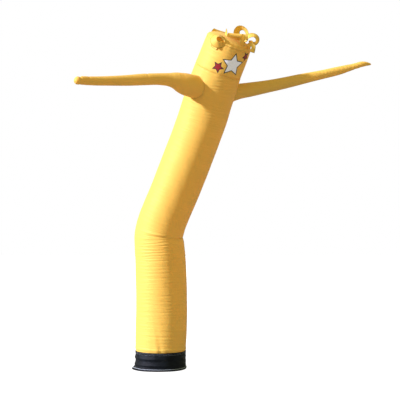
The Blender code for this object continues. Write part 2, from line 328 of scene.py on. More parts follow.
def mesh_piece(
    name: str, points: np.ndarray, faces: list[np.ndarray], uv: np.ndarray | None, material: Material
) -> Object:
    """A new smooth mesh object at the origin.

    Args:
        name: The piece's name.
        points: Points, with three numbers in the last direction of the array.
        faces: Arrays of point numbers, one row for each face.
        uv: Two numbers for each corner of each face, or None.
        material: Its finish.

    Returns:
        The object.
    """
    mesh = bpy.data.meshes.new(name)
    mesh.from_pydata(points.reshape(-1, 3).tolist(), [], [face for part in faces for face in part.tolist()])
    if uv is not None:
        layer = mesh.uv_layers.new(name="cloth")
        layer.data.foreach_set("uv", uv.astype(np.float32).ravel())
    mesh.materials.append(material)
    mesh.shade_smooth()
    mesh.update()
    return add_object(name, mesh)


def place_piece(piece: Object, slot: Slot, *nodes: str) -> None:
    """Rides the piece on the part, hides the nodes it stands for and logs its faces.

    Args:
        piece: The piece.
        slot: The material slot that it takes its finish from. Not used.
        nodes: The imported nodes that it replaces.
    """
    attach(piece, BODY)
    if nodes:
        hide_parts(*nodes)
    LOG.info("%s: %d faces", piece.name, len(piece.data.polygons))


@dataclass(frozen=True)
class Sheet:
    """A sheet of cloth: the node it stands for, the size it was cut to and how it is held."""

    node: str
    flat: tuple[float, float]
    area: float
    slot: Slot = Slot.YELLOW
    held: Held = Held.STRETCHED
    thickness: float = NYLON_THICKNESS
    offset: float = -1.0  # the thickness goes inwards from the face, or both ways at 0

    def make(
        self, points: np.ndarray, faces: list[np.ndarray], uv: np.ndarray, finish: Material
    ) -> Object:
        """Args:
            points: Points of its outer face.
            faces: Arrays of point numbers, one row for each face.
            uv: Two numbers for each corner of each face.
            finish: Its material.

        Returns:
            The object.
        """
        piece = mesh_piece(self.node + "_cloth", points, faces, uv, finish)
        solidify = piece.modifiers.new("Cloth thickness", "SOLIDIFY")
        solidify.thickness = self.thickness
        solidify.offset = self.offset
        solidify.use_even_offset = self.offset < 0
        place_piece(piece, self.slot, self.node)
        return piece


@dataclass(frozen=True)
class Weave:
    """The plain weave of a cloth with heavier threads in a square grid, as a bump.

    The real threads are 0.25 mm apart and the heavy ones 6 mm. The fine ones are drawn 1.5 mm
    apart, because thinner ones don't show in a picture of the whole dancer.
    """

    thread: float = 0.0015
    square: float = 0.006
    heavy_share: float = 0.12
    heavy_height: float = 1.0
    strength: float = 0.18
    depth: float = 0.00025

    def bump(self, tree: NodeTree, uv: NodeSocket) -> NodeSocket:
        """Adds the bump: both ways a sine wave, with a step up on each heavy thread.

        Args:
            tree: The material's tree.
            uv: Place on the cloth in metres.

        Returns:
            The normal socket.
        """
        axes = add_node(tree, "SeparateXYZ", {0: uv}).outputs
        heights = {}
        for number, place in enumerate((axes[0], axes[1])):
            turns = add_node(tree, "Math", {0: place, 1: TURN / self.thread}, operation="MULTIPLY")
            wave = add_node(tree, "Math", {0: turns.outputs[0]}, operation="SINE")
            squares = add_node(tree, "Math", {0: place, 1: 1 / self.square}, operation="MULTIPLY")
            share = add_node(tree, "Math", {0: squares.outputs[0]}, operation="FRACT")
            line = add_node(tree, "Math", {0: share.outputs[0], 1: self.heavy_share}, operation="LESS_THAN")
            both = {0: line.outputs[0], 1: self.heavy_height, 2: wave.outputs[0]}
            height = add_node(tree, "Math", both, operation="MULTIPLY_ADD")
            heights[number] = height.outputs[0]
        height = add_node(tree, "Math", heights, operation="ADD").outputs[0]
        relief = {"Strength": self.strength, "Distance": self.depth, "Height": height}
        return add_node(tree, "Bump", relief).outputs[0]


class Shown(NamedTuple):
    """What a cloth's face shows: its colour, and the share of the light that passes it."""

    colour: NodeSocket
    passing: NodeSocket | float


@dataclass(frozen=True)
class CoatedNylon:
    """Ripstop nylon, woven from fine thread, dyed yellow and coated on its inner face.

    It is thin and half see-through to light, so a part of the light passes the sheet: the side
    away from the lamp glows a deep orange yellow. The coating gives the face a soft sheen.
    """

    name: str = "coated_ripstop_nylon"
    face: str = "#F5D66A"
    worn: str = "#EDCA60"
    roughness: float = 0.52
    specular: float = 0.25
    sheen: float = 0.08
    passing: float = 0.5  # share of the light that goes through one face of the sheet
    patch: float = 0.16  # size of the soft stains and worn patches
    weave: Weave = Weave()
    crease_step: float = 0.011  # spacing of the fine creases that run round the tubes
    crease_run: float = 0.14  # their length
    crease_depth: float = 0.0020

    def face_colour(self, tree: NodeTree, uv: NodeSocket) -> Shown:
        """Dyed cloth with soft worn patches of the given size.

        Args:
            tree: The material's tree.
            uv: Place on the cloth in metres.

        Returns:
            The colour, and the share of the light that passes.
        """
        place = add_node(tree, "TexCoord").outputs["Object"]
        cloud = {"Vector": place, "Scale": 1 / self.patch, "Detail": 4.0, "Roughness": 0.6}
        noise = add_node(tree, "TexNoise", cloud).outputs["Fac"]
        mixed = {"Factor": noise, 6: hex_colour(self.face), 7: hex_colour(self.worn)}
        colour = add_node(tree, "Mix", mixed, data_type="RGBA").outputs[2]
        return Shown(colour, self.passing)

    def fine_creases(self, tree: NodeTree, uv: NodeSocket, normal: NodeSocket) -> NodeSocket:
        """Shallow uneven creases as a bump: noise drawn out along the width of the cloth.

        Args:
            tree: The material's tree.
            uv: Place on the cloth in metres.
            normal: The weave's normal.

        Returns:
            The normal socket.
        """
        drawn_out = {"Vector": uv, "Scale": (1 / self.crease_run, 1 / self.crease_step, 1.0)}
        place = add_node(tree, "Mapping", drawn_out).outputs[0]
        cloud = {"Vector": place, "Scale": 1.0, "Detail": 2.0, "Roughness": 0.55}
        noise = add_node(tree, "TexNoise", cloud).outputs["Fac"]
        relief = {"Strength": 1.0, "Distance": self.crease_depth, "Height": noise, "Normal": normal}
        return add_node(tree, "Bump", relief).outputs[0]

    def material(self) -> Material:
        """The finish as a material: a matt sheen face mixed with light that passes through.

        Returns:
            The material.
        """
        material, tree = new_material(self.name)
        uv = add_node(tree, "UVMap", uv_map="cloth").outputs[0]
        colour, passing = self.face_colour(tree, uv)
        normal = self.fine_creases(tree, uv, self.weave.bump(tree, uv))
        face = {"Base Color": colour, "Roughness": self.roughness, "Normal": normal}
        face |= {"Specular IOR Level": self.specular, "Sheen Weight": self.sheen}
        shown = add_node(tree, "BsdfPrincipled", face).outputs[0]
        through = add_node(tree, "BsdfTranslucent", {"Color": colour, "Normal": normal})
        cloth = add_node(tree, "MixShader", {0: passing, 1: shown, 2: through.outputs[0]})
        add_node(tree, "OutputMaterial", {"Surface": cloth.outputs[0]})
        return material


class Star(NamedTuple):
    """A printed five-pointed star: its centre on the flat cloth, its reach, its tilt, its ink."""

    x: float
    y: float
    reach: float
    tilt: float
    ink: str


@dataclass(frozen=True)
class PrintedNylon(CoatedNylon):
    """The same nylon with a screen-printed design: flat opaque inks with crisp edges.

    The design is a plain row of three outlined stars. The inks are a little rubbed, so some of
    the yellow shows through them.
    """

    name: str = "printed_ripstop_nylon"
    middle: tuple[float, float] = (0.052, 0.068)  # right of the front, above the neck seam
    stars: tuple[Star, ...] = (
        Star(0.000, 0.000, 0.054, 0.12, "#F2EEF6"),
        Star(-0.068, -0.034, 0.022, -0.30, "#8E1B22"),
        Star(0.062, 0.054, 0.018, 0.62, "#8E1B22"),
    )
    line_ink: str = "#15131C"
    line: float = 0.0042  # width of the outline
    edge: float = 0.0007  # softness of an ink's edge
    plump: float = 0.50  # reach of a star's inner corners, as a share of its points'
    grain: float = 0.00625  # size of the rubbed spots
    rub_from: float = 0.50  # value of the grain where the rubbing starts
    rub_to: float = 0.72
    rubbed: float = 0.14
    covered: float = 0.42  # how much less light passes where the ink is

    def star_distance(self, tree: NodeTree, uv: NodeSocket, star: Star) -> NodeSocket:
        """Distance from the line through a star's nearest edge, below 0 inside the star.

        The direction from the centre is folded into a tenth of a turn, from a point of the star
        to its inner corner. The distance is the length times the cosine of the angle to the
        edge's normal, less that of the edge itself.

        Args:
            tree: The material's tree.
            uv: Place on the cloth in metres.
            star: The star.

        Returns:
            The distance in metres.
        """
        tenth = TURN / 10
        inner = self.plump * np.cos(tenth), self.plump * np.sin(tenth)
        normal = float(np.arctan2(1 - inner[0], inner[1]))
        centre = (self.middle[0] + star.x, self.middle[1] + star.y, 0.0)
        laid = {"Vector": uv, "Location": centre, "Rotation": (0.0, 0.0, star.tilt)}
        moved = add_node(tree, "Mapping", laid, vector_type="TEXTURE").outputs[0]
        length = add_node(tree, "VectorMath", {0: moved}, operation="LENGTH")
        parts = add_node(tree, "SeparateXYZ", {0: moved})
        steps = (
            ("ARCTAN2", parts.outputs[0], parts.outputs[1]),
            ("PINGPONG", None, tenth),
            ("SUBTRACT", None, normal),
            ("COSINE", None, None),
            ("MULTIPLY", None, length.outputs["Value"]),
            ("SUBTRACT", None, float(star.reach * np.cos(normal))),
        )
        value = None
        for operation, first, second in steps:
            inputs = {0: value if first is None else first}
            if second is not None:
                inputs[1] = second
            value = add_node(tree, "Math", inputs, operation=operation).outputs[0]
        return value

    def face_colour(self, tree: NodeTree, uv: NodeSocket) -> Shown:
        """The dyed cloth with each star's outline and then its filling over it.

        Args:
            tree: The material's tree.
            uv: Place on the cloth in metres.

        Returns:
            The colour, and the share of the light that passes, less under the inks.
        """
        colour, passing = super().face_colour(tree, uv)
        cloud = {"Vector": uv, "Scale": 1 / self.grain, "Detail": 4.0}
        grain = add_node(tree, "TexNoise", cloud).outputs["Fac"]
        worn = {0: grain, 1: self.rub_from, 2: self.rub_to, 3: 1.0, 4: 1 - self.rubbed}
        held = add_node(tree, "MapRange", worn).outputs[0]
        for star in self.stars:
            distance = self.star_distance(tree, uv, star)
            for reach, ink in ((self.line, self.line_ink), (0.0, star.ink)):
                edge = {0: distance, 1: reach - self.edge, 2: reach + self.edge, 3: 1.0, 4: 0.0}
                inked = add_node(tree, "MapRange", edge, interpolation_type="SMOOTHSTEP")
                mask = add_node(tree, "Math", {0: inked.outputs[0], 1: held}, operation="MULTIPLY").outputs[0]
                mixed = {"Factor": mask, 6: colour, 7: hex_colour(ink)}
                colour = add_node(tree, "Mix", mixed, data_type="RGBA").outputs[2]
                if ink == self.line_ink:
                    less = {0: mask, 1: -self.covered, 2: passing}
                    passing = add_node(tree, "Math", less, operation="MULTIPLY_ADD").outputs[0]
        return Shown(colour, passing)


@dataclass(frozen=True)
class HemmedNylon(CoatedNylon):
    """The same nylon cut in strips, whose narrow hems are overlocked with olive thread."""

    name: str = "hemmed_ripstop_nylon"
    thread: str = "#B39A3C"

    def face_colour(self, tree: NodeTree, uv: NodeSocket) -> Shown:
        """The dyed cloth, darkened to the thread's colour where the strip's hem value is high.

        Args:
            tree: The material's tree.
            uv: Place on the cloth in metres.

        Returns:
            The colour, and the share of the light that passes.
        """
        colour, passing = super().face_colour(tree, uv)
        hem = add_node(tree, "Attribute", attribute_name="hem").outputs["Fac"]
        mixed = {"Factor": hem, 6: colour, 7: hex_colour(self.thread)}
        return Shown(add_node(tree, "Mix", mixed, data_type="RGBA").outputs[2], passing)


@dataclass(frozen=True)
class HeavyCloth:
    """Black polyester canvas of the cuff: plain woven, matt, and greyer where it was rubbed."""

    name: str = "black_polyester_canvas"
    face: str = "#090C0F"
    rubbed: str = "#14191E"
    rub_from: float = 0.45  # value of the noise where the rubbing starts
    rub_to: float = 0.75
    roughness: float = 0.50
    specular: float = 0.07
    patch: float = 0.05
    hem_thread_and_highlight: str = "#8B9196"
    hem_height: float = 0.0102  # a pale row here: partly the hem's thread, partly a painted highlight where the hem's edge catches the light
    hem_width: float = 0.0008
    weave: Weave = Weave(thread=0.0022, square=0.5, strength=0.3, depth=0.0004)

    def material(self) -> Material:
        """The finish as a material: two blacks mixed by noise, and a pale hem row over them that is partly
        its thread and partly a painted highlight of its edge.

        Returns:
            The material.
        """
        material, tree = new_material(self.name)
        uv = add_node(tree, "UVMap", uv_map="cloth").outputs[0]
        place = add_node(tree, "TexCoord").outputs["Object"]
        cloud = {"Vector": place, "Scale": 1 / self.patch, "Detail": 5.0, "Roughness": 0.65}
        noise = add_node(tree, "TexNoise", cloud).outputs["Fac"]
        worn = {0: noise, 1: self.rub_from, 2: self.rub_to, 3: 0.0, 4: 1.0}
        rubbed = add_node(tree, "MapRange", worn).outputs[0]
        mixed = {"Factor": rubbed, 6: hex_colour(self.face), 7: hex_colour(self.rubbed)}
        colour = add_node(tree, "Mix", mixed, data_type="RGBA").outputs[2]
        # Painted highlight: a pale row at the hem, in the colour of its thread, stands in for the light that
        # its edge catches.
        height = add_node(tree, "SeparateXYZ", {0: uv}).outputs[1]
        near = {0: height, 1: self.hem_height, 2: self.hem_width}
        row = add_node(tree, "Math", near, operation="COMPARE").outputs[0]
        sewn = {"Factor": row, 6: colour, 7: hex_colour(self.hem_thread_and_highlight)}
        colour = add_node(tree, "Mix", sewn, data_type="RGBA").outputs[2]
        face = {"Base Color": colour, "Roughness": self.roughness}
        face |= {"Specular IOR Level": self.specular, "Normal": self.weave.bump(tree, uv)}
        shader = add_node(tree, "BsdfPrincipled", face)
        add_node(tree, "OutputMaterial", {"Surface": shader.outputs[0]})
        return material


@dataclass(frozen=True)
class Thread:
    """Twisted polyester sewing thread: a little shinier than the cloth beside it."""

    name: str
    face: str
    roughness: float = 0.42
    bands: float = 200.0  # the wave texture's scale that sets the slanting twist 1.6 mm apart
    shade: float = 0.35  # how much the twist darkens it

    def material(self) -> Material:
        """The finish as a material, with a fine slanting twist in its colour.

        Returns:
            The material.
        """
        material, tree = new_material(self.name)
        place = add_node(tree, "TexCoord").outputs["Object"]
        slanting = {"Vector": place, "Scale": self.bands}
        twist = add_node(tree, "TexWave", slanting, bands_direction="DIAGONAL").outputs["Color"]
        mixed = {"Factor": self.shade, 6: hex_colour(self.face), 7: twist}
        colour = add_node(tree, "Mix", mixed, data_type="RGBA", blend_type="MULTIPLY").outputs[2]
        face = {"Base Color": colour, "Roughness": self.roughness}
        shader = add_node(tree, "BsdfPrincipled", face)
        add_node(tree, "OutputMaterial", {"Surface": shader.outputs[0]})
        return material


@dataclass(frozen=True)
class Finishes:
    """The materials, made once and shared by the pieces."""

    nylon: Material
    printed: Material
    hair: Material
    canvas: Material
    yellow_thread: Material
    grey_thread: Material

    @classmethod
    def make(cls) -> "Finishes":
        """Makes all of them.

        Returns:
            The set.
        """
        yellow = Thread("yellow_polyester_thread", "#D9A53C")
        grey = Thread("grey_polyester_thread", "#7A8086")
        made = (CoatedNylon(), PrintedNylon(), HemmedNylon(), HeavyCloth(), yellow, grey)
        return cls(*(finish.material() for finish in made))


@dataclass(frozen=True)
class Stitches:
    """A row of machine stitches: small thread capsules along a line on the cloth."""

    pitch: float = 0.0048
    length: float = 0.0036
    thick: float = 0.0009
    sides: int = 5
    places: tuple[float, ...] = (-0.5, -0.28, 0.28, 0.5)  # of the rings, as shares of the length
    swell: tuple[float, ...] = (0.35, 1.0, 1.0, 0.35)  # of the rings, as shares of the thickness
    raised: float = 0.2  # how far the middle stands over the cloth, as a share of the thickness
    near: float = 1e-3  # distance to the points that give the heading

    def row(self, line: np.ndarray, out: np.ndarray) -> tuple[np.ndarray, list[np.ndarray]]:
        """Capsules at even steps along the line.

        Each one is a small tube of four rings: its half thickness swells from a third at the
        ends to the whole in its middle, and it stands on the cloth at the line's own place.

        Args:
            line: Points along the seam, on the cloth.
            out: The cloth's outward direction at each point.

        Returns:
            Points, and arrays of the faces of all the stitches.
        """
        along = summed_steps(line)
        count = max(2, int(along[-1] / self.pitch))
        at = (np.arange(count) + 0.5) * along[-1] / count
        place, normal = read_rows(at, along, line), unit(read_rows(at, along, out))
        heading = read_rows(at + self.near, along, line) - read_rows(at - self.near, along, line)
        heading = unit(heading)
        sideways = unit(np.cross(normal, heading))
        rings = len(self.places)
        lengthwise = np.array(self.places)[:, None] * self.length
        swell = np.array(self.swell)[:, None] * self.thick / 2
        around = ring_directions(0.0, self.sides)
        across, up = swell * np.cos(around), swell * np.sin(around) + self.thick * self.raised
        parts = (np.broadcast_to(lengthwise, across.shape), across, up)
        shape = np.stack(parts, axis=-1).reshape(-1, 3)
        points = place[:, None] + shape @ np.stack([heading, sideways, normal], axis=1)
        first = (np.arange(count) * len(shape))[:, None]
        quads = grid_faces(rings, self.sides, closed=True)
        ends = (np.arange(self.sides)[::-1], (rings - 1) * self.sides + np.arange(self.sides))
        faces = [(quads[None] + first[..., None]).reshape(-1, 4), *(end + first for end in ends)]
        return points.reshape(-1, 3), faces

    def piece(self, name: str, rows: list, material: Material) -> Object:
        """One joined object of several rows of stitches.

        Args:
            name: The piece's name.
            rows: A pair of line and outward directions for each row.
            material: The thread.

        Returns:
            The object.
        """
        points, faces, first = [], [], 0
        for line, out in rows:
            row_points, row_faces = self.row(line, out)
            points.append(row_points)
            faces += [part + first for part in row_faces]
            first += len(row_points)
        return mesh_piece(name, np.concatenate(points), faces, None, material)


TUBE = tuple(
    TubeRow(*row)
    for row in (
        (0.079, 0.001, 0.000, 0.253, 0.253),
        (0.120, 0.002, 0.000, 0.258, 0.258),
        (0.220, 0.005, 0.000, 0.263, 0.262),
        (0.350, 0.006, 0.000, 0.263, 0.262),
        (0.470, 0.003, 0.000, 0.262, 0.262),
        (0.560, 0.000, 0.000, 0.259, 0.263),
        (0.635, -0.005, 0.000, 0.256, 0.266),
        (0.680, -0.007, 0.000, 0.254, 0.269),
        (0.717, -0.001, -0.003, 0.252, 0.268),
        (0.759, 0.011, -0.010, 0.250, 0.264),
        (0.800, 0.027, -0.018, 0.249, 0.260),
        (0.882, 0.062, -0.032, 0.248, 0.253),
        (1.045, 0.127, -0.061, 0.249, 0.250),
        (1.207, 0.190, -0.090, 0.248, 0.248),
        (1.300, 0.223, -0.107, 0.248, 0.248),
        (1.376, 0.246, -0.125, 0.245, 0.245),
        (1.449, 0.270, -0.147, 0.242, 0.242),
        (1.516, 0.294, -0.168, 0.239, 0.239),
        (1.580, 0.320, -0.187, 0.237, 0.237),
        (1.646, 0.346, -0.208, 0.233, 0.233),
    )
)
LEFT_ARM = tuple(
    ArmRow(*row)
    for row in (
        (0.236, -0.166, 1.424, 0.114),
        (0.176, -0.226, 1.429, 0.113),
        (0.119, -0.275, 1.440, 0.104),
        (0.085, -0.302, 1.450, 0.082),
        (0.055, -0.322, 1.453, 0.066),
        (0.012, -0.349, 1.453, 0.059),
        (-0.060, -0.396, 1.447, 0.057),
        (-0.140, -0.447, 1.437, 0.052),
        (-0.225, -0.503, 1.429, 0.047),
        (-0.310, -0.562, 1.423, 0.041),
        (-0.352, -0.592, 1.422, 0.038),
        (-0.372, -0.607, 1.420, 0.030),
        (-0.379, -0.612, 1.420, 0.014),
    )
)
RIGHT_ARM = tuple(
    ArmRow(*row)
    for row in (
        (0.300, -0.102, 1.397, 0.096),
        (0.365, -0.088, 1.411, 0.087),
        (0.402, -0.080, 1.419, 0.078),
        (0.458, -0.068, 1.429, 0.072),
        (0.520, -0.053, 1.441, 0.066),
        (0.619, -0.025, 1.463, 0.061),
        (0.719, 0.002, 1.488, 0.055),
        (0.835, 0.032, 1.516, 0.048),
        (0.935, 0.060, 1.542, 0.042),
        (1.000, 0.075, 1.561, 0.032),
        (1.061, 0.090, 1.578, 0.026),
        (1.088, 0.097, 1.578, 0.014),
        (1.099, 0.100, 1.576, 0.007),
    )
)
CUFF = tuple(
    CuffRow(*row)
    for row in (
        (-0.010, 0.0050),
        (0.000, 0.0045),
        (0.010, 0.0012),
        (0.019, 0.0000),
        (0.028, 0.0042),
        (0.038, 0.0008),
        (0.050, 0.0002),
        (0.060, 0.0040),
        (0.071, 0.0008),
        (0.083, 0.0000),
        (0.094, 0.0000),
    )
)
HAIR = tuple(
    HairRow(*row)
    for row in (
        ("loop_left", -16, 0.99, -92, -52, 10, 92, -350, 1.1, 0.160, 0.044, 0.034, -44),
        ("end_left", -33, 1.00, -33, 0, 8, -80, -6, 1.0, 0.038, 0.042, 0.038, 0),
        ("spike", -46, 0.34, -60, 0, 0, 70, 0, 1.0, 0.036, 0.030, 0.004, 0),
        ("roll_front", 27, 0.40, 8, 0, -14, 96, -250, 1.9, 0.072, 0.084, 0.080, 0),
        ("ring_top", 124, 0.76, 64, 0, -10, 58, 316, 1.3, 0.176, 0.036, 0.030, 52),
        ("curl_right", 76, 0.60, 88, 0, 8, 84, -336, 1.8, 0.154, 0.028, 0.026, 44),
        ("strip_right", 66, 0.89, 18, 0, 0, 90, -176, 0.9, 0.108, 0.026, 0.022, 0),
        ("tab_front", 40, 0.82, 20, 0, -18, 96, -240, 2.4, 0.114, 0.022, 0.018, 0),
        ("loop_back", 164, 0.94, 164, 0, 0, 24, -320, 1.0, 0.190, 0.036, 0.030, 0),
        ("roll_back", 205, 0.92, 200, 0, 0, 50, -200, 1.0, 0.095, 0.070, 0.064, 0),
        ("strip_back", 128, 1.02, 128, 0, 0, -30, -60, 0.6, 0.080, 0.040, 0.030, 0),
    )
)


class Sections(NamedTuple):
    """Cross-sections of the tube: one row of each array for each height."""

    centre: np.ndarray
    axis: np.ndarray
    right: np.ndarray
    back: np.ndarray
    half_across: np.ndarray
    half_deep: np.ndarray


@dataclass(frozen=True)
class TubeShape:
    """The standing tube's form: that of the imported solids, with a softer waist fold."""

    rows: tuple[TubeRow, ...] = TUBE
    aim: float = 0.004  # distance to the centres that give an axis
    waist: float = 0.680
    fold_depth: float = 0.0045
    fold_half_width: float = 0.027
    fold_span: float = np.radians(125)
    fold_fall: float = 1.5
    tries: int = 6

    def sections(self, z: np.ndarray) -> Sections:
        """Centres, frames and half widths of the sections at some heights.

        The axis points from the centre a little below to the centre a little above, and right
        is +X made square to it.

        Args:
            z: Heights.

        Returns:
            The sections.
        """
        knots = [row.z for row in self.rows]
        places = [(row.x, row.y, row.z) for row in self.rows]
        ahead = smooth(np.clip(z + self.aim, knots[0], knots[-1]), knots, places)
        behind = smooth(np.clip(z - self.aim, knots[0], knots[-1]), knots, places)
        axis = unit(ahead - behind)
        right = unit(np.array([1.0, 0.0, 0.0]) - axis[:, :1] * axis)
        half_across = smooth(z, knots, [row.across / 2 for row in self.rows])
        half_deep = smooth(z, knots, [row.deep / 2 for row in self.rows])
        centre = smooth(z, knots, places)
        return Sections(centre, axis, right, np.cross(axis, right), half_across, half_deep)

    def fold_share(self, angles: np.ndarray) -> np.ndarray:
        """How much of the waist fold is left: 1 at the right side, 0 past the fold's span."""
        from_right = np.abs(turned_from(angles, 0.0))
        return np.cos(np.clip(from_right / self.fold_span, 0, 1) * np.pi / 2) ** self.fold_fall

    def points(self, z: np.ndarray, angles: np.ndarray, grow: np.ndarray) -> np.ndarray:
        """Points of the tube's outer face.

        Each is its section's centre, plus cosine times the half width to the right, plus sine
        times the half depth to the back, both less the waist fold and plus grow.

        Args:
            z: Heights of the rings.
            angles: Directions round each ring.
            grow: How far the face stands out from the plain form, rings by directions.

        Returns:
            Rings by directions by three numbers.
        """
        part = self.sections(z)
        along = bell(z - self.waist, self.fold_half_width)
        fold = self.fold_depth * along[:, None] * self.fold_share(angles)[None, :]
        to_right = (part.half_across[:, None] - fold + grow) * np.cos(angles)
        to_back = (part.half_deep[:, None] - fold + grow) * np.sin(angles)
        return spread(part.centre, (to_right, part.right), (to_back, part.back))

    def outward(self, z: np.ndarray, angles: np.ndarray) -> np.ndarray:
        """Outward directions for the same grid as points.

        Args:
            z: Heights of the rings.
            angles: Directions round each ring.

        Returns:
            Rings by directions by three numbers.
        """
        part = self.sections(z)
        to_right, to_back = np.cos(angles)[None, :], np.sin(angles)[None, :]
        return unit(spread(np.zeros_like(part.centre), (to_right, part.right), (to_back, part.back)))

    def flat_places(self, z: np.ndarray, angles: np.ndarray) -> np.ndarray:
        """Places on the flat cloth: across from the front, and up along the middle line.

        Args:
            z: Heights of the rings.
            angles: Directions round each ring.

        Returns:
            Two numbers for each corner of each face.
        """
        u = self.sections(z).half_across[:, None] * (closed_columns(angles) - FRONT)[None, :]
        v = np.broadcast_to(summed_steps(self.sections(z).centre)[:, None], u.shape)
        return grid_uv(u, v)

    def distance_outside(self, points: np.ndarray) -> np.ndarray:
        """How far each point lies outside the tube's plain form.

        The height of a point's own section is found by moving along the axis, a few times over,
        by how far the point lies ahead of the section.

        Args:
            points: Rows of three numbers.

        Returns:
            Distances, below 0 inside the tube.
        """
        low, high = self.rows[0].z, self.rows[-1].z
        z = np.clip(points[:, 2], low, high)
        for _ in range(self.tries):
            part = self.sections(z)
            ahead = ((points - part.centre) * part.axis).sum(axis=1)
            z = np.clip(z + ahead * part.axis[:, 2], low, high)
        part = self.sections(z)
        away = points - part.centre
        to_right = (away * part.right).sum(axis=1) / part.half_across
        to_back = (away * part.back).sum(axis=1) / part.half_deep
        return (np.hypot(to_right, to_back) - 1) * part.half_across


@dataclass(frozen=True)
class BackSeam:
    """The lengthwise seam at the back of the tube: a flat raised band with soft sides."""

    half_width: float = 0.0045
    rise: float = 0.0006
    sides: float = 1.25  # where the sides end, as a share of the half width
    clear: float = 1.5  # no even column lies nearer than this share of the half width
    columns: tuple[float, ...] = (0.55, 1.0, 1.3)  # shares of the half width with a column of their own

    def directions(self, count: int, radius: float) -> np.ndarray:
        """Directions round a ring from its back, with closer ones each side of the seam there.

        Args:
            count: Number of even steps.
            radius: The tube's radius.

        Returns:
            Rising angles from the back, without the last, which is the first again.
        """
        band = self.half_width / radius
        even = ring_directions(0.0, count)
        even = even[(even > self.clear * band) & (even < TURN - self.clear * band)]
        near = band * np.array(self.columns)
        return BACK + np.concatenate([[0.0], near, even, TURN - near[::-1]])

    def relief(self, angles: np.ndarray, radius: float) -> np.ndarray:
        """How far the seam raises the cloth in each direction, round a tube of that radius."""
        from_back = np.abs(turned_from(angles, BACK)) * radius
        return self.rise * (1 - ease(from_back, self.half_width, self.half_width * self.sides))


@dataclass(frozen=True)
class SeamPull:
    """How a seam across a tube pulls the cloth beside it: small gathers, and a groove along it.

    The gathers are a cosine wave round the tube whose phase wanders, and fade with the distance
    past the seam. The groove is a bell curve.
    """

    gather: float
    count: int
    wander: int
    reach: float
    groove: float = 0.0
    groove_width: float = 0.0045

    def relief(self, away: np.ndarray, angles: np.ndarray) -> np.ndarray:
        """How far the cloth stands out.

        Args:
            away: Distance past the seam.
            angles: Directions round the tube.

        Returns:
            Distances in metres.
        """
        wave = np.cos(self.count * angles + 2 * np.sin(self.wander * angles))
        gathers = self.gather * wave * np.exp(-np.clip(away, 0, None) / self.reach)
        return gathers - self.groove * bell(away, self.groove_width)


NECK_SEAM = SeamPull(0.0007, 20, 2, 0.012, groove=0.0013)


class ArmFrames(NamedTuple):
    """Cross-sections of an arm: one row of each array for each place along it."""

    centre: np.ndarray
    radius: np.ndarray
    axis: np.ndarray
    up: np.ndarray
    side: np.ndarray


@dataclass(frozen=True)
class Crease:
    """A soft trough across an arm: its place from the tip, and the side where it is deepest."""

    from_tip: float
    depth: float
    width: float
    side: float
    slant: float
    fall: float = 1.5

    def relief(self, from_tip: np.ndarray, angles: np.ndarray) -> np.ndarray:
        """Minus the depth times a bell curve along the arm, times a half and half a cosine.

        Args:
            from_tip: Distance of each point from the tip.
            angles: Direction of each point.

        Returns:
            Distances in metres.
        """
        near = bell(from_tip - self.from_tip - self.slant * np.sin(angles), self.width)
        share = (0.5 + 0.5 * np.cos(angles - np.radians(self.side))) ** self.fall
        return -self.depth * near * share


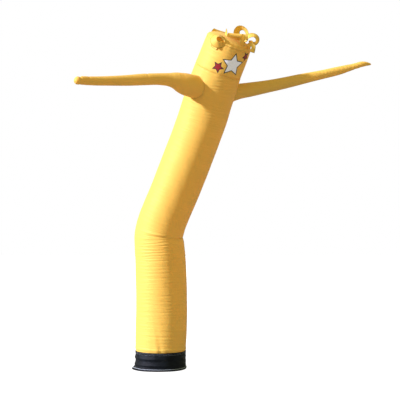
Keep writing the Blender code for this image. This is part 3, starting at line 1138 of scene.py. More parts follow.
@dataclass(frozen=True)
class Arm:
    """A tapered tube of nylon with a sewn, rounded end, set into a hole in the body."""

    finish: Material
    sheet: Sheet
    rows: tuple[ArmRow, ...]
    creases: tuple[Crease, ...]
    rays: int
    steps: int
    shape: TubeShape = TubeShape()
    around: int = 48
    tip_rows: int = 7
    tip_round: float = 0.007
    tip_least: float = 0.0004  # square of the least share of the radius that the last ring keeps
    tuck_in: float = 0.0015  # how far the root edge lies inside the body's face
    root_share: float = 0.5  # the root edge is looked for in this share of the length
    root_steps: int = 260
    near_root: float = 0.22  # the body's face is compared with this much of the arm
    near_steps: int = 56
    ray_depth: float = 0.0013
    ray_reach: float = 0.026
    root_swell: float = 0.0030  # how far the cloth swells out on both sides of the root seam
    root_round: float = 0.0110
    ripple: float = 0.0004
    ripple_pitch: float = 0.021
    swell: float = 0.0007
    seam: float = np.pi  # the lengthwise seam is under the arm
    line_points: int = 120

    def knots(self) -> tuple[np.ndarray, np.ndarray]:
        """Places of the given sections, and their distance along the arm."""
        places = np.array([(row.x, row.y, row.z) for row in self.rows])
        return places, summed_steps(places)

    def frames(self, at: np.ndarray) -> ArmFrames:
        """Sections of the arm, where up is +Z made square to the axis.

        Args:
            at: Distances along the arm.

        Returns:
            The sections.
        """
        places, knots = self.knots()
        ahead = smooth(np.clip(at + self.shape.aim, 0, knots[-1]), knots, places)
        behind = smooth(np.clip(at - self.shape.aim, 0, knots[-1]), knots, places)
        axis = unit(ahead - behind)
        up = unit(np.array([0.0, 0.0, 1.0]) - axis[:, 2:] * axis)
        radius = smooth(at, knots, [row.size / 2 for row in self.rows])
        return ArmFrames(smooth(at, knots, places), radius, axis, up, np.cross(axis, up))

    def points(self, at: np.ndarray, angles: np.ndarray, grow: np.ndarray | float) -> np.ndarray:
        """Points of the arm's face.

        Each is its section's centre, plus the radius and grow times cosine of the angle upwards
        and sine of it sideways.

        Args:
            at: Distance along the arm of each point.
            angles: Direction of each point.
            grow: How far each stands out from the plain form.

        Returns:
            An array like at, by three numbers.
        """
        angles = np.broadcast_to(angles, at.shape).reshape(-1, 1)
        part = self.frames(at.ravel())
        reach = (part.radius.reshape(at.shape) + grow).reshape(-1, 1)
        spokes = np.cos(angles) * part.up + np.sin(angles) * part.side
        return (part.centre + reach * spokes).reshape(*at.shape, 3)

    def root_edge(self, angles: np.ndarray) -> np.ndarray:
        """Where the arm leaves the body: the last place that is still inside it.

        Args:
            angles: Directions round the arm.

        Returns:
            Distance along the arm in each direction.
        """
        at = np.linspace(0, self.knots()[1][-1] * self.root_share, self.root_steps)
        grid = np.broadcast_to(at[:, None], (len(at), len(angles)))
        points = self.points(grid, angles[None, :], 0.0)
        outside = self.shape.distance_outside(points.reshape(-1, 3)).reshape(grid.shape)
        inside = outside < -self.tuck_in
        return at[len(at) - 1 - np.argmax(inside[::-1], axis=0)]

    def wall_seen_from(self, points: np.ndarray) -> tuple[np.ndarray, np.ndarray]:
        """How far points lie outside the arm's wall near its root, and their direction.

        Args:
            points: Rows of three numbers.

        Returns:
            Distances, below 0 inside the arm, and angles round the arm.
        """
        part = self.frames(np.linspace(0, self.near_root, self.near_steps))
        away = points[:, None, :] - part.centre[None]
        nearest = np.argmin((away**2).sum(axis=2), axis=1)
        away = away[np.arange(len(points)), nearest]
        sideways, upwards = ((away * axis[nearest]).sum(axis=1) for axis in (part.side, part.up))
        return np.linalg.norm(away, axis=1) - part.radius[nearest], np.arctan2(sideways, upwards)

    def root_folds(self, away: np.ndarray, angles: np.ndarray) -> np.ndarray:
        """Folds like the rays of a star round the root seam, on a swell, on either side of it.

        Args:
            away: Distance of each point from the seam.
            angles: Direction of each point round the arm.

        Returns:
            How far the cloth stands out, in metres.
        """
        rays = np.cos(self.rays * angles + 1.3 * np.sin(2 * angles))
        folds = self.ray_depth * rays * np.exp(-away / self.ray_reach)
        return folds + self.root_swell * np.exp(-away / self.root_round)

    def relief(self, from_root: np.ndarray, from_tip: np.ndarray, angles: np.ndarray) -> np.ndarray:
        """How far the cloth stands out from the plain form.

        Narrow troughs round the arm at uneven steps, soft swells, the folds at the root seam,
        and the arm's own creases.

        Args:
            from_root: Distance of each point from the root seam.
            from_tip: Distance of each point from the tip.
            angles: Direction of each point.

        Returns:
            Distances in metres.
        """
        phase = TURN * from_root / self.ripple_pitch + 1.6 * np.sin(from_root * 23)
        phase = phase + 0.7 * np.sin(2 * angles + from_root * 11)
        strength = 0.55 + 0.45 * np.sin(3 * angles + from_root * 19)
        height = self.ripple * strength * troughs(phase)
        height = height + self.swell * np.sin(2 * angles + 9 * from_root) * np.sin(17 * from_root)
        height = height + self.root_folds(from_root, angles)
        return height + sum(crease.relief(from_tip, angles) for crease in self.creases)

    def grid(self) -> tuple[np.ndarray, np.ndarray, np.ndarray]:
        """The arm's face as a grid from root to tip, rounded off at the tip.

        Returns:
            Points, distances along the arm, and angles with the first again at the end.
        """
        angles = ring_directions(self.seam, self.around)
        root = self.root_edge(angles)
        straight = self.knots()[1][-1] - self.tip_round
        share = np.linspace(0, 1, self.steps)
        at = root[None, :] + (straight - root[None, :]) * share[:, None]
        turn = np.linspace(0, np.pi / 2, self.tip_rows + 1)[1:]
        tip = straight + self.tip_round * np.sin(turn)
        at = np.concatenate([at, np.broadcast_to(tip[:, None], (len(tip), self.around))])
        relief = self.relief(at - root[None, :], straight + self.tip_round - at, angles[None, :])
        radius = self.frames(at.ravel()).radius.reshape(at.shape)
        past = np.clip((at - straight) / self.tip_round, 0, 1)
        rounded = (radius + relief) * np.sqrt(np.clip(1 - past**2, self.tip_least, 1)) - radius
        return self.points(at, angles[None, :], rounded), at, closed_columns(angles)

    def build(self) -> Object:
        """Makes the arm.

        Returns:
            The object.
        """
        points, at, columns = self.grid()
        rows, around = at.shape
        radius = self.frames(at.ravel()).radius.reshape(at.shape)
        v = np.concatenate([at, at[:, :1]], axis=1)
        u = np.concatenate([radius, radius[:, :1]], axis=1) * (columns - np.pi - self.seam)
        uv = np.concatenate([grid_uv(u, v), np.zeros((3 * around, 2)) + (0.0, at[-1, 0])])
        faces = [grid_faces(rows, around, closed=True), pole_faces(rows, around)]
        points = np.concatenate([points.reshape(-1, 3), points[-1].mean(axis=0)[None]])
        return self.sheet.make(points, faces, uv, self.finish)

    def root_line(self, away: float) -> tuple[np.ndarray, np.ndarray]:
        """A line round the arm beside its root seam.

        Args:
            away: Distance from the seam.

        Returns:
            Points, and outward directions.
        """
        angles = closed_columns(ring_directions(self.seam, self.line_points))
        at = self.root_edge(angles) + away
        grow = self.relief(np.full(len(at), away), self.knots()[1][-1] - at, angles)
        part = self.frames(at)
        out = unit(np.cos(angles)[:, None] * part.up + np.sin(angles)[:, None] * part.side)
        return self.points(at, angles, grow), out


@dataclass(frozen=True)
class Tuck:
    """A pinched fold down the tube: a straight line on the cloth that fades at its upper end.

    It is a V trough with a soft ridge beside it. Angles are in degrees.
    """

    low: float
    high: float
    low_angle: float
    high_angle: float
    depth: float
    width: float
    ridge: float = 0.4  # height of the ridge, as a share of the depth
    ridge_at: float = 2.2  # its place and half width, as shares of the trough's
    ridge_width: float = 1.4
    wide: float = 1.3  # the trough's width at its low end, as a share of the given one
    narrower: float = 0.6  # how much of that share is gone at its high end
    fall: float = 1.5

    def relief(self, z: np.ndarray, angles: np.ndarray, radius: float) -> np.ndarray:
        """How far the cloth stands out.

        Args:
            z: Heights.
            angles: Directions.
            radius: The tube's radius.

        Returns:
            Distances in metres.
        """
        share = np.clip((z - self.low) / (self.high - self.low), 0, 1)
        low, high = np.radians(self.low_angle), np.radians(self.high_angle)
        middle = low + (high - low) * share
        beside = turned_from(turned_from(angles, 0.0) - turned_from(middle, 0.0), 0.0) * radius
        width = self.width * (self.wide - self.narrower * share)
        trough = np.exp(-np.abs(beside) / width)
        ridge = self.ridge * bell(beside + self.ridge_at * width, self.ridge_width * width)
        return self.depth * (1 - share) ** self.fall * (z <= self.high) * (ridge - trough)


class Wrinkle(NamedTuple):
    """A thin trough across the tube: its height, depth, middle direction, reach and slant.

    Angles are in degrees; slant is how far it rises for each radian round the tube.
    """

    z: float
    depth: float
    angle: float
    reach: float
    slant: float

    def relief(self, above: np.ndarray, angles: np.ndarray, width: float) -> np.ndarray:
        """Minus the depth times a bell curve in height, times another round the tube.

        Args:
            above: Heights.
            angles: Directions.
            width: Half width of the trough.

        Returns:
            Distances in metres.
        """
        beside = turned_from(angles, np.radians(self.angle))
        trough = -self.depth * bell(above - self.z - self.slant * beside, width)
        return trough * bell(beside, np.radians(self.reach))


WRINKLES = tuple(
    Wrinkle(*row)
    for row in (
        (0.6660, 0.0011, 285, 70, 0.002),
        (0.6545, 0.0008, 280, 60, -0.002),
        (0.6451, 0.0012, 275, 55, 0.003),
        (0.6340, 0.0008, 290, 60, 0.000),
        (0.6229, 0.0018, 272, 55, -0.009),
        (0.6112, 0.0016, 270, 45, -0.006),
        (0.5997, 0.0015, 268, 40, 0.004),
        (0.5846, 0.0017, 268, 45, 0.002),
        (0.5705, 0.0012, 262, 38, -0.004),
        (0.5594, 0.0010, 270, 40, 0.000),
        (0.5310, 0.0007, 285, 45, 0.003),
        (0.4959, 0.0012, 275, 35, 0.002),
        (0.4738, 0.0011, 275, 35, -0.002),
        (0.4587, 0.0009, 278, 30, 0.003),
        (0.4240, 0.0007, 270, 40, 0.000),
        (0.3806, 0.0013, 280, 27, 0.004),
        (0.3503, 0.0014, 280, 27, 0.002),
        (0.3280, 0.0007, 276, 30, -0.002),
        (0.3000, 0.0009, 282, 30, 0.002),
        (0.2680, 0.0008, 276, 28, 0.000),
        (0.2320, 0.0009, 280, 30, 0.003),
        (0.2010, 0.0007, 277, 26, 0.000),
        (0.1720, 0.0008, 284, 30, -0.002),
        (0.1430, 0.0007, 290, 30, 0.000),
        (1.2630, 0.0010, 272, 28, 0.014),
        (1.2760, 0.0011, 274, 28, 0.018),
        (1.2990, 0.0011, 276, 28, 0.020),
        (1.3150, 0.0015, 280, 24, 0.020),
        (1.3300, 0.0009, 276, 22, 0.020),
        (1.4500, 0.0014, 282, 26, 0.028),
        (1.4660, 0.0016, 284, 24, 0.030),
        (1.4780, 0.0012, 278, 26, 0.031),
        (1.4915, 0.0019, 284, 24, 0.032),
        (1.5040, 0.0015, 280, 26, 0.034),
    )
)


@dataclass(frozen=True)
class TubePanel:
    """A panel of the standing tube."""

    finish: Material
    shape: TubeShape = TubeShape()
    back_seam: BackSeam = BackSeam()
    line_points: int = 240

    def face(self, z: np.ndarray, angles: np.ndarray) -> np.ndarray:
        """Points of the dressed face, rings by directions by three numbers."""
        raise NotImplementedError

    def ring_line(self, z: float) -> tuple[np.ndarray, np.ndarray]:
        """A line round the panel.

        Args:
            z: Its height.

        Returns:
            Points, and outward directions.
        """
        angles = closed_columns(ring_directions(BACK, self.line_points))
        heights = np.array([z])
        return self.face(heights, angles)[0], self.shape.outward(heights, angles)[0]


@dataclass(frozen=True)
class Body(TubePanel):
    """The round tube from the cuff to the neck, with its waist fold and its two arm holes."""

    arms: tuple[Arm, ...] = ()
    sheet: Sheet = Sheet("body", (0.81, 1.47), 1.181)
    low: float = 0.079
    around: int = 88
    step: float = 0.0034
    fine_step: float = 0.0018
    fine_reach: float = 0.105
    fine_fade: tuple[float, float] = (0.8, 1.4)  # shares of it where the rings grow coarser
    samples: int = 4000
    hole_margin: float = 0.005
    ripple: float = 0.0008
    ripple_pitch: float = 0.0185
    ripple_least: float = 0.35  # share of the ripples that is everywhere
    lower_end: tuple[float, float] = (0.66, 0.76)  # the lower half's ripples fade out here
    chest: float = 1.33
    chest_width: float = 0.06
    neck_start: tuple[float, float] = (1.38, 1.42)  # those of the neck fade in here
    upper_share: float = 0.8
    long_swell: float = 0.0009
    short_swell: float = 0.0003
    fold_front: float = np.radians(264)  # where the waist fold's ledge and bottom are deepest
    fold_spread: float = 0.42
    ledge: float = 0.0034
    ledge_over: float = 0.0210
    ledge_width: float = 0.0085
    crease: float = 0.0024
    crease_over: float = 0.0065
    crease_width: float = 0.0038
    wander: float = 0.0012
    wrinkle_width: float = 0.0024
    wrinkles: tuple[Wrinkle, ...] = WRINKLES
    upper_creases: tuple[tuple[float, float], ...] = ((0.712, 0.0010), (0.731, 0.0008), (0.755, 0.0006))
    upper_width: float = 0.0035
    upper_slant: float = -0.006
    tucks: tuple[Tuck, ...] = (
        Tuck(0.096, 0.310, 271, 254, 0.0044, 0.0050),
        Tuck(0.096, 0.165, 318, 325, 0.0020, 0.0060),
        Tuck(0.096, 0.150, 22, 17, 0.0024, 0.0060),
        Tuck(0.096, 0.190, 75, 68, 0.0022, 0.0065),
        Tuck(0.096, 0.145, 140, 147, 0.0022, 0.0060),
        Tuck(0.096, 0.170, 205, 199, 0.0020, 0.0060),
    )
    cuff_seam: SeamPull = SeamPull(0.0008, 19, 3, 0.016, groove=0.0014, groove_width=0.006)
    lip: float = 0.0022  # the cloth bulges over the cuff's edge
    lip_over: float = 0.012
    lip_width: float = 0.008
    back_points: int = 500
    seam_ends: float = 0.004  # the back seam's stitches stop this far from the seams across

    def heights(self) -> np.ndarray:
        """Heights of the rings: even steps, but finer ones near the waist fold.

        Returns:
            Rising heights.
        """
        z = np.linspace(self.low, NECK, self.samples)
        near, far = self.fine_fade
        coarse = ease(np.abs(z - self.shape.waist), self.fine_reach * near, self.fine_reach * far)
        rings = 1 / (self.fine_step + (self.step - self.fine_step) * coarse)
        count = np.concatenate([[0.0], np.cumsum((rings[1:] + rings[:-1]) / 2 * np.diff(z))])
        return np.interp(np.linspace(0, count[-1], int(count[-1]) + 1), count, z)

    def ripples(self, z: np.ndarray, angles: np.ndarray) -> np.ndarray:
        """Troughs round the tube at uneven steps, deepest below the waist and near the neck.

        The phase grows with z, faster and slower in turn, and wanders round the tube.

        Args:
            z: Heights.
            angles: Directions.

        Returns:
            How far the cloth stands out.
        """
        phase = TURN * z / self.ripple_pitch + 2.2 * np.sin(z * 20 + 0.4) + 1.1 * np.sin(z * 47)
        phase = phase + 0.9 * np.sin(2 * angles + 8 * z) + 0.5 * np.sin(5 * angles - 13 * z)
        strength = 0.6 + 0.4 * np.sin(3 * angles + 15 * z) * np.sin(27 * z)
        lower = 1 - ease(z, *self.lower_end)
        chest = self.upper_share * bell(z - self.chest, self.chest_width)
        neck = self.upper_share * ease(z, *self.neck_start)
        share = self.ripple_least + (1 - self.ripple_least) * np.clip(lower + chest + neck, 0, 1)
        return self.ripple * strength * share * troughs(phase)

    def unevenness(self, z: np.ndarray, angles: np.ndarray) -> np.ndarray:
        """Long soft swells and short ones, each a product of waves round and up the tube.

        Args:
            z: Heights.
            angles: Directions.

        Returns:
            How far the cloth stands out.
        """
        long_waves = np.sin(2 * angles + 6 * z) * np.sin(9 * z + 1) + 0.6 * np.sin(3 * angles - 11 * z)
        short_waves = np.sin(7 * angles + 21 * z) * np.sin(31 * z + 2 * angles)
        return self.long_swell * long_waves + self.short_swell * short_waves

    def waist_creases(self, z: np.ndarray, angles: np.ndarray) -> np.ndarray:
        """The sharp bottom of the waist fold, the ledge over it and the wrinkles under it.

        Each is a bell curve in height. They fade towards the left side, where the cloth is
        stretched round the outside of the bend.

        Args:
            z: Heights.
            angles: Directions.

        Returns:
            How far the cloth stands out.
        """
        front = bell(turned_from(angles, self.fold_front), self.fold_spread)
        wander = self.wander * np.sin(3 * angles + 1)
        over = z - self.shape.waist
        creases = self.ledge * bell(over - self.ledge_over, self.ledge_width) * front
        creases = creases - self.crease * bell(over - self.crease_over - wander, self.crease_width) * front
        for wrinkle in self.wrinkles:
            creases = creases + wrinkle.relief(z - wander, angles, self.wrinkle_width)
        fold = self.shape.fold_share(angles)
        for place, depth in self.upper_creases:
            slant = self.upper_slant * np.sin(angles + 70 * place)
            creases = creases - depth * bell(z - place - slant, self.upper_width) * fold
        return creases

    def seam_marks(self, z: np.ndarray, angles: np.ndarray) -> np.ndarray:
        """Grooves and small gathers at the cuff and neck seams, and the raised back seam.

        Args:
            z: Heights.
            angles: Directions.

        Returns:
            How far the cloth stands out.
        """
        over_cuff = z - CUFF_TOP
        marks = self.cuff_seam.relief(over_cuff, angles) + NECK_SEAM.relief(NECK - z, angles)
        marks = marks + self.lip * bell(over_cuff - self.lip_over, self.lip_width)
        return marks + self.back_seam.relief(angles, self.shape.rows[1].across / 2)

    def relief(self, z: np.ndarray, angles: np.ndarray) -> np.ndarray:
        """All folds of the tube except those at the arms.

        Args:
            z: Heights of the rings.
            angles: Directions round them.

        Returns:
            How far the cloth stands out, rings by directions.
        """
        z, angles = z[:, None], angles[None, :]
        folds = self.ripples(z, angles) + self.unevenness(z, angles) + self.waist_creases(z, angles)
        radius = self.shape.rows[1].across / 2
        folds = folds + sum(tuck.relief(z, angles, radius) for tuck in self.tucks)
        return folds + self.seam_marks(z, angles)

    def surface(self, z: np.ndarray, angles: np.ndarray) -> tuple[np.ndarray, np.ndarray]:
        """The dressed face, with folds like the rays of a star round each arm.

        Args:
            z: Heights of the rings.
            angles: Directions round them.

        Returns:
            Points, and the least distance of each from an arm's wall, below 0 in its hole.
        """
        relief = self.relief(z, angles)
        plain = self.shape.points(z, angles, relief).reshape(-1, 3)
        nearest = np.full(len(plain), 1.0)
        folds = np.zeros(len(plain))
        for arm in self.arms:
            away, turn = arm.wall_seen_from(plain)
            folds += arm.root_folds(np.clip(away, 0, None), turn)
            nearest = np.minimum(nearest, away)
        total = relief + folds.reshape(relief.shape)
        return self.shape.points(z, angles, total), nearest.reshape(relief.shape)

    def face(self, z: np.ndarray, angles: np.ndarray) -> np.ndarray:
        """Points of the dressed face, rings by directions by three numbers."""
        return self.surface(z, angles)[0]

    def build(self) -> Object:
        """Makes the tube, with the cloth cut away inside each arm.

        Returns:
            The object.
        """
        z = self.heights()
        angles = self.back_seam.directions(self.around, self.shape.rows[0].across / 2)
        points, nearest = self.surface(z, angles)
        faces = grid_faces(len(z), len(angles), closed=True)
        kept = (nearest.ravel()[faces] > -self.hole_margin).any(axis=1)
        uv = self.shape.flat_places(z, angles).reshape(-1, 4, 2)[kept].reshape(-1, 2)
        used, faces = np.unique(faces[kept], return_inverse=True)
        return self.sheet.make(points.reshape(-1, 3)[used], [faces.reshape(-1, 4)], uv, self.finish)

    def back_line(self, offset: float) -> tuple[np.ndarray, np.ndarray]:
        """A line up the back, beside the seam.

        Args:
            offset: Distance from the seam.

        Returns:
            Points, and outward directions.
        """
        z = np.linspace(CUFF_TOP + self.seam_ends, NECK - self.seam_ends, self.back_points)
        angle = np.array([BACK + offset / self.shape.rows[1].across * 2])
        return self.face(z, angle)[:, 0], self.shape.outward(z, angle)[:, 0]


@dataclass(frozen=True)
class Head(TubePanel):
    """The short panel of the tube above the neck seam, with the print on its front."""

    sheet: Sheet = Sheet("head", (0.745, 0.145), 0.107)
    gap: float = 0.00015
    around: int = 112
    rings: int = 54
    ripple: float = 0.0005
    ripple_pitch: float = 0.024
    swell: float = 0.0008
    top_seam: SeamPull = SeamPull(0.0009, 26, 3, 0.015, groove=0.0012)

    def face(self, z: np.ndarray, angles: np.ndarray) -> np.ndarray:
        """The dressed face: weak troughs round the head, soft swells, and its seams' marks.

        Args:
            z: Heights of the rings.
            angles: Directions round them.

        Returns:
            Rings by directions by three numbers.
        """
        up, round_it = z[:, None], angles[None, :]
        phase = TURN * up / self.ripple_pitch + 0.8 * np.sin(2 * round_it + 9 * up)
        strength = 0.55 + 0.45 * np.sin(3 * round_it + 12 * up)
        folds = self.ripple * strength * troughs(phase)
        folds = folds + self.swell * np.sin(2 * round_it + 14 * up) * np.sin(23 * up)
        folds = folds + NECK_SEAM.relief(up - NECK, round_it)
        folds = folds + self.top_seam.relief(CROWN_SEAM - up, round_it)
        folds = folds + self.back_seam.relief(round_it, self.shape.rows[-1].across / 2)
        return self.shape.points(z, angles, folds)

    def build(self) -> Object:
        """Makes the head panel.

        Returns:
            The object.
        """
        z = np.linspace(NECK + self.gap, CROWN_SEAM, self.rings)
        angles = self.back_seam.directions(self.around, self.shape.rows[-1].across / 2)
        faces = [grid_faces(len(z), len(angles), closed=True)]
        return self.sheet.make(
            self.face(z, angles), faces, self.shape.flat_places(z, angles), self.finish
        )


@dataclass(frozen=True)
class Crown:
    """The round cap that closes the head: a short straight edge and a bulging top."""

    finish: Material
    shape: TubeShape = TubeShape()
    sheet: Sheet = Sheet("crown", (0.25, 0.25), 0.0503)
    gap: float = 0.0003
    skirt: float = 0.004
    rise: float = 0.034
    around: int = 112
    levels: int = 30
    last_level: float = np.radians(87)  # the last ring before the top point
    seam_pull: SeamPull = SeamPull(0.0011, 26, 3, 0.12)  # its reach is a share of the radius
    groove: float = 0.0012
    groove_width: float = 0.004
    swell: float = 0.0012

    def rings(self, angles: np.ndarray) -> tuple[np.ndarray, np.ndarray, np.ndarray]:
        """Rings of the cap and its top point.

        A ring's height over the seam is the straight edge plus the rise times the sine of its
        level, and its radius the tube's times the level's cosine, with gathers that fade
        towards the top.

        Args:
            angles: Directions round the cap.

        Returns:
            The rings, the top, and the radius of each ring.
        """
        part = self.shape.sections(np.array([CROWN_SEAM]))
        level = np.linspace(0, self.last_level, self.levels)
        height = np.concatenate([[self.gap], self.skirt + self.rise * np.sin(level)])
        share = np.concatenate([[1.0], np.cos(level)])[:, None]
        radius = part.half_across[0] * share
        spokes = np.cos(angles)[:, None] * part.right + np.sin(angles)[:, None] * part.back
        folds = self.seam_pull.relief(1 - share, angles[None, :])
        folds = folds - self.groove * bell(height - height[0], self.groove_width)[:, None]
        edge = np.exp(-(1 - share) / self.seam_pull.reach)
        swell = self.swell * np.sin(3 * angles)[None, :] * (1 - edge) * share
        rings = part.centre + (height[:, None] + swell)[..., None] * part.axis
        rings = rings + (radius + folds)[..., None] * spokes
        return rings, (part.centre + (self.skirt + self.rise) * part.axis)[0], radius

    def build(self) -> Object:
        """Makes the cap.

        Returns:
            The object.
        """
        angles = ring_directions(BACK, self.around)
        rings, top, radius = self.rings(angles)
        columns = closed_columns(angles)
        u, v = radius * np.cos(columns), radius * np.sin(columns)
        edge = np.stack([u[-1], v[-1]], axis=1)
        fan_uv = np.stack([edge[:-1], edge[1:], np.zeros_like(edge[1:])], axis=1).reshape(-1, 2)
        rows, around = rings.shape[:2]
        faces = [grid_faces(rows, around, closed=True), pole_faces(rows, around)]
        points = np.concatenate([rings.reshape(-1, 3), top[None]])
        return self.sheet.make(points, faces, np.concatenate([grid_uv(u, v), fan_uv]), self.finish)


@dataclass(frozen=True)
class Cuff:
    """The black band at the tube's mouth, ridged on one side, with a wavy hem that kicks out."""

    finish: Material
    rows: tuple[CuffRow, ...] = CUFF
    sheet: Sheet = Sheet("cuff", (0.84, 0.095), 0.0783, slot=Slot.BLACK, thickness=0.0016)
    radius: float = 0.1300
    x: float = 0.001
    low: float = 0.0006  # the hem's edge just clears the floor
    ridge_side: float = np.radians(200)
    flare: float = 0.014
    flare_side: float = np.radians(188)
    flare_height: float = 0.034
    flare_fall: float = 1.5
    waves: int = 5
    wave: float = 0.0018
    crumple: float = 0.0009
    seam_pull: SeamPull = SeamPull(0.0006, 29, 3, 0.014)
    hem: float = 0.0105  # height of the stitched hem
    hem_rise: float = 0.0022
    hem_fade: float = 0.0022
    hem_start: tuple[float, float] = (-0.002, 0.003)  # it rises from here
    groove: float = 0.0006
    groove_over: float = 0.0035
    groove_width: float = 0.002
    rim: float = 0.0011  # how far the top edge turns in
    rim_height: float = 0.004
    around: int = 150
    rings: int = 66
    line_points: int = 300

    def reach(self, z: np.ndarray, angles: np.ndarray) -> np.ndarray:
        """Radius of the cuff's outer face.

        The plain radius, plus the given profile times a half and half a cosine from the ridged
        side, plus the flare and the waves of the hem, which fade upwards, plus gathers, crumples
        and the rise of the hem's double cloth.

        Args:
            z: Heights.
            angles: Directions.

        Returns:
            Heights by directions.
        """
        out = smooth(z, [row.z for row in self.rows], [row.out for row in self.rows])
        low = np.minimum(np.clip(1 - z / self.flare_height, 0, None) ** self.flare_fall, 1.0)[:, None]
        z, angles = z[:, None], angles[None, :]
        kick = np.clip(np.cos(angles - self.flare_side), 0, None) ** 2
        radius = self.radius + out[:, None] * (0.5 + 0.5 * np.cos(angles - self.ridge_side))
        radius = radius + low * (self.flare * kick + self.wave * np.sin(self.waves * angles))
        crumple = np.sin(4 * angles + 90 * z) * np.sin(140 * z + 3 * np.sin(2 * angles))
        radius = radius + self.crumple * crumple + self.seam_pull.relief(CUFF_TOP - z, angles)
        hem = (1 - ease(z, self.hem, self.hem + self.hem_fade)) * ease(z, *self.hem_start)
        groove = self.groove * bell(z - self.hem - self.groove_over, self.groove_width)
        rim = self.rim * ease(z, CUFF_TOP - self.rim_height, CUFF_TOP)
        return radius + self.hem_rise * hem - groove - rim

    def face(self, z: np.ndarray, angles: np.ndarray) -> np.ndarray:
        """Points of the outer face.

        Args:
            z: Heights.
            angles: Directions.

        Returns:
            Heights by directions by three numbers.
        """
        radius = self.reach(z, angles)
        x, y = self.x + radius * np.cos(angles), radius * np.sin(angles)
        return np.stack([x, y, np.broadcast_to(z[:, None], radius.shape)], axis=-1)

    def build(self) -> Object:
        """Makes the cuff.

        Returns:
            The object.
        """
        z = np.linspace(self.low, CUFF_TOP, self.rings)
        angles = ring_directions(BACK, self.around)
        columns = closed_columns(angles)
        u = np.broadcast_to(self.radius * (columns - FRONT), (len(z), len(columns)))
        uv = grid_uv(u, np.broadcast_to(z[:, None], u.shape))
        faces = [grid_faces(len(z), len(angles), closed=True)]
        return self.sheet.make(self.face(z, angles), faces, uv, self.finish)

    def ring_line(self, z: float) -> tuple[np.ndarray, np.ndarray]:
        """A line round the cuff.

        Args:
            z: Its height.

        Returns:
            Points, and outward directions.
        """
        angles = closed_columns(ring_directions(BACK, self.line_points))
        out = np.stack([np.cos(angles), np.sin(angles), np.zeros(len(angles))], axis=1)
        return self.face(np.array([z]), angles)[0], out


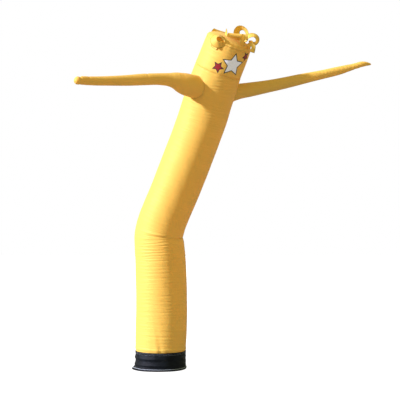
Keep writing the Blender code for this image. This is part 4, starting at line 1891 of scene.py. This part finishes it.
@dataclass(frozen=True)
class Hair:
    """The strips of the same nylon that are sewn to the crown and curl in the air."""

    finish: Material
    crown: Crown
    rows: tuple[HairRow, ...] = HAIR
    sink: float = 0.002
    step: float = 0.0026
    cup: float = 0.0011  # how far a strip's edges curl up
    cup_middle: float = 0.33
    edge_wave: float = 0.0005
    wave_turn: float = 150.0  # radians of the edge's wave for each metre along it
    free_from: float = 0.25  # share of the length over which the strip gets its curl
    hem: float = 0.0022  # width of the narrow stitched hem
    hem_fade: float = 0.0008
    least_edge: float = 0.0006  # half width inside the hem that a pointed end keeps
    least_inner: float = 0.0004
    inner_columns: int = 7
    cone_from: float = 0.12  # share of the length over which a funnel opens

    def crown_direction(self, azimuth: float, part: Sections) -> np.ndarray:
        """Direction across the crown at an azimuth from the front towards the right."""
        turn = np.radians(azimuth)
        return np.sin(turn) * part.right[0] - np.cos(turn) * part.back[0]

    def middle_line(self, row: HairRow) -> tuple[np.ndarray, np.ndarray, np.ndarray]:
        """The strip's middle line in the plane of its curl.

        The heading starts at the row's first angle over the crown and turns with the distance
        to the power of tighten, and the line sums its steps.

        Args:
            row: The strip.

        Returns:
            The line, and the directions of the strip's width and of its face along it.
        """
        crown = self.crown
        part = crown.shape.sections(np.array([CROWN_SEAM]))
        centre, axis, radius = part.centre[0], part.axis[0], part.half_across[0]
        share = min(row.inset, 1.0)
        outwards = self.crown_direction(row.at, part)
        onwards = self.crown_direction(row.toward, part)
        lean, tilt = np.radians(row.lean), np.radians(row.tilt)
        upwards = np.cos(lean) * axis + np.sin(lean) * outwards
        upwards = unit(upwards - upwards.dot(onwards) * onwards)
        upwards = np.cos(tilt) * upwards + np.sin(tilt) * np.cross(upwards, onwards)
        height = crown.skirt + crown.rise * np.sqrt(1 - share**2) - self.sink * (1 - share)
        root = centre + (row.inset * radius - self.sink * share) * outwards + height * axis
        steps = int(round(row.length / self.step))
        middles = (np.arange(steps) + 0.5) / steps
        heading = np.radians(row.start + row.turn * middles**row.tighten)
        moves = np.cos(heading)[:, None] * onwards + np.sin(heading)[:, None] * upwards
        line = root + np.concatenate([np.zeros((1, 3)), np.cumsum(moves, axis=0)]) * row.length / steps
        plain = np.broadcast_to(np.cross(upwards, onwards), line.shape)
        inwards = unit(np.cross(np.gradient(line, axis=0), plain))
        cone = np.radians(row.cone) * ease(np.linspace(0, 1, steps + 1), 0.0, self.cone_from)[:, None]
        sideways = np.cos(cone) * plain + np.sin(cone) * inwards
        return line, sideways, np.cos(cone) * inwards - np.sin(cone) * plain

    def strip(self, row: HairRow) -> Object:
        """Makes one strip: its line carried across its width, with curled, wavy edges.

        The edges lift with the square of the distance from the middle, and their wave grows
        with the same square and goes the other way on the other side.

        Args:
            row: The strip.

        Returns:
            The object.
        """
        line, sideways, face = self.middle_line(row)
        count = len(line)
        half = np.linspace(row.root_width, row.tip_width, count)[:, None] / 2
        edge = (half - self.hem).clip(self.least_edge)
        inner = (half - self.hem - self.hem_fade).clip(self.least_inner)
        inner = np.linspace(-1, 1, self.inner_columns)[None, :] * inner
        place = np.concatenate([-half, -edge, inner, edge, half], axis=1)
        share = place / half
        along = np.linspace(0, row.length, count)[:, None]
        wave = np.sin(along * self.wave_turn + row.at) * share**2 * np.sign(share)
        lift = self.cup * (share**2 - self.cup_middle) + self.edge_wave * wave
        lift = ease(along / row.length, 0.0, self.free_from) * lift
        points = spread(line, (place, sideways), (lift, face))
        uv = grid_uv(place, np.broadcast_to(along, place.shape))
        faces = [grid_faces(count, place.shape[1], closed=False)]
        widths = (row.root_width, row.tip_width)
        area = row.length * sum(widths) / 2
        sheet = Sheet("hair_" + row.name, (max(widths), row.length), area, held=Held.HUNG, offset=0.0)
        piece = sheet.make(points, faces, uv, self.finish)
        hem = np.zeros(place.shape, np.float32)
        hem[:, [0, 1, -2, -1]] = 1.0
        hem[-1] = 1.0
        piece.data.attributes.new("hem", "FLOAT", "POINT").data.foreach_set("value", hem.ravel())
        return piece

    def build(self) -> list[Object]:
        """Makes all the strips."""
        return [self.strip(row) for row in self.rows]


@dataclass(frozen=True)
class Seams:
    """The rows of stitches that join the pieces."""

    body: Body
    head: Head
    cuff: Cuff
    finishes: Finishes
    stitches: Stitches = Stitches()
    beside: float = 0.0038  # distance of a row from the seam that it holds
    beside_back: float = 0.0030
    below_rim: tuple[float, ...] = (0.0055, 0.0125)  # the cuff's upper rows
    below_hem: float = 0.0012

    def build(self) -> list[Object]:
        """Makes the stitches in the yellow cloth and those in the cuff.

        Returns:
            The two objects.
        """
        body, head, cuff = self.body, self.head, self.cuff
        in_nylon = [
            body.ring_line(NECK - self.beside),
            head.ring_line(NECK + self.beside),
            head.ring_line(CROWN_SEAM - self.beside),
            body.back_line(-self.beside_back),
            body.back_line(self.beside_back),
            *(arm.root_line(self.beside + arm.tuck_in) for arm in body.arms),
        ]
        in_cuff = [cuff.ring_line(CUFF_TOP - down) for down in self.below_rim]
        in_cuff.append(cuff.ring_line(cuff.hem - self.below_hem))
        yellow = self.stitches.piece("yellow_stitches", in_nylon, self.finishes.yellow_thread)
        place_piece(yellow, Slot.YELLOW)
        grey = self.stitches.piece("cuff_stitches", in_cuff, self.finishes.grey_thread)
        place_piece(grey, Slot.BLACK)
        return [yellow, grey]


@dataclass(frozen=True)
class Studio:
    """The photograph's camera, a low sun from the left, a white backdrop and a pale floor."""

    camera_at: tuple[float, float, float] = (0.203425, -6.0, 0.866745)
    lens: float = 104.854
    sensor: float = 36.0
    sun_strength: float = 9.2
    sun_angle: float = np.radians(2.5)
    sun_from: tuple[float, float, float] = (-0.845, -0.345, 0.42)
    sun_colour: tuple[float, float, float] = (0.98, 0.955, 1.20)
    fill: float = 0.74
    fill_colour: tuple[float, float, float, float] = (1.0, 1.0, 0.66, 1.0)
    floor_half: float = 12.0
    floor_drop: float = 0.0005
    floor_points: int = 13
    floor_glow: float = 0.95
    floor_seen: str = "#7C7C7A"
    floor_bounce: str = "#959592"

    def camera(self) -> None:
        """Places the camera level and square to the part."""
        data = bpy.data.cameras.new("photo_camera")
        data.lens = self.lens
        data.sensor_width = self.sensor
        camera = add_object("photo_camera", data)
        camera.location = self.camera_at
        camera.rotation_euler = (np.pi / 2, 0.0, 0.0)
        bpy.context.scene.camera = camera

    def sun(self) -> None:
        """Adds the sun, turned so that its -Z runs away from where it shines."""
        data = bpy.data.lights.new("low_sun", "SUN")
        data.energy = self.sun_strength
        data.color = self.sun_colour
        data.angle = self.sun_angle
        light = add_object("low_sun", data)
        light.rotation_euler = Vector(self.sun_from).to_track_quat("Z", "Y").to_euler()

    def backdrop(self) -> None:
        """Sets the sky: white where the camera sees it, and a soft fill for the surfaces."""
        world = bpy.data.worlds.new("white_backdrop")
        world.use_nodes = True
        tree = world.node_tree
        tree.nodes.clear()
        seen = add_node(tree, "Background", {"Color": WHITE, "Strength": 1.0}).outputs[0]
        soft = {"Color": self.fill_colour, "Strength": self.fill}
        fill = add_node(tree, "Background", soft).outputs[0]
        by_camera = add_node(tree, "LightPath").outputs["Is Camera Ray"]
        both = add_node(tree, "MixShader", {0: by_camera, 1: fill, 2: seen})
        add_node(tree, "OutputWorld", {"Surface": both.outputs[0]})
        bpy.context.scene.world = world
        bpy.context.scene.view_settings.view_transform = "Standard"

    def floor(self) -> None:
        """Lays a pale floor: it glows near white to the camera and bounces a little light."""
        material, tree = new_material("pale_floor")
        white = {"Color": WHITE, "Strength": self.floor_glow}
        glow = add_node(tree, "Emission", white).outputs[0]
        matt, bounce = (
            add_node(tree, "BsdfDiffuse", {"Color": hex_colour(code)}).outputs[0]
            for code in (self.floor_seen, self.floor_bounce)
        )
        bright = add_node(tree, "AddShader", {0: glow, 1: matt}).outputs[0]
        by_camera = add_node(tree, "LightPath").outputs["Is Camera Ray"]
        both = add_node(tree, "MixShader", {0: by_camera, 1: bounce, 2: bright})
        add_node(tree, "OutputMaterial", {"Surface": both.outputs[0]})
        side = np.linspace(-self.floor_half, self.floor_half, self.floor_points)
        x, y = np.meshgrid(side, side)
        points = np.stack([x, y, np.full_like(x, -self.floor_drop)], axis=-1)
        faces = [grid_faces(self.floor_points, self.floor_points, closed=False)]
        mesh_piece("pale_floor", points, faces, None, material)

    def build(self) -> None:
        """Sets up all of it."""
        self.camera()
        self.sun()
        self.backdrop()
        self.floor()


LEFT_CREASES = (
    Crease(0.031, 0.0042, 0.0055, 20, 0.004),
    Crease(0.052, 0.0018, 0.0045, 60, -0.003),
    Crease(0.078, 0.0012, 0.0045, -30, 0.004),
    Crease(0.400, 0.0018, 0.0060, 20, 0.010),
)
RIGHT_CREASES = (
    Crease(0.062, 0.0016, 0.0040, 200, 0.003),
    Crease(0.078, 0.0014, 0.0040, 30, -0.003),
    Crease(0.096, 0.0018, 0.0045, 220, 0.004),
    Crease(0.118, 0.0012, 0.0045, 60, -0.004),
    Crease(0.145, 0.0012, 0.0050, 240, 0.005),
)


def make_arm(side: Side, finish: Material) -> Arm:
    """An arm with the sizes and folds of its side.

    Args:
        side: Which arm.
        finish: Its material.

    Returns:
        The arm, not built yet.
    """
    node = "arm_" + side.value
    if side is Side.LEFT:
        sheet = Sheet(node, (0.36, 0.70), 0.135)
        return Arm(finish, sheet, LEFT_ARM, LEFT_CREASES, rays=9, steps=185)
    sheet = Sheet(node, (0.32, 0.82), 0.125)
    return Arm(finish, sheet, RIGHT_ARM, RIGHT_CREASES, rays=8, steps=205)


def main() -> None:
    """Builds the studio and every piece, in order."""
    logging.basicConfig(level=logging.INFO, format="%(name)s: %(message)s")
    Studio().build()
    finishes = Finishes.make()
    arms = tuple(make_arm(side, finishes.nylon) for side in Side)
    body = Body(finishes.nylon, arms=arms)
    head = Head(finishes.printed)
    crown = Crown(finishes.nylon)
    cuff = Cuff(finishes.canvas)
    body.build()
    head.build()
    crown.build()
    for arm in arms:
        arm.build()
    cuff.build()
    Hair(finishes.hair, crown).build()
    Seams(body, head, cuff, finishes).build()


if __name__ == "__main__":
    main()
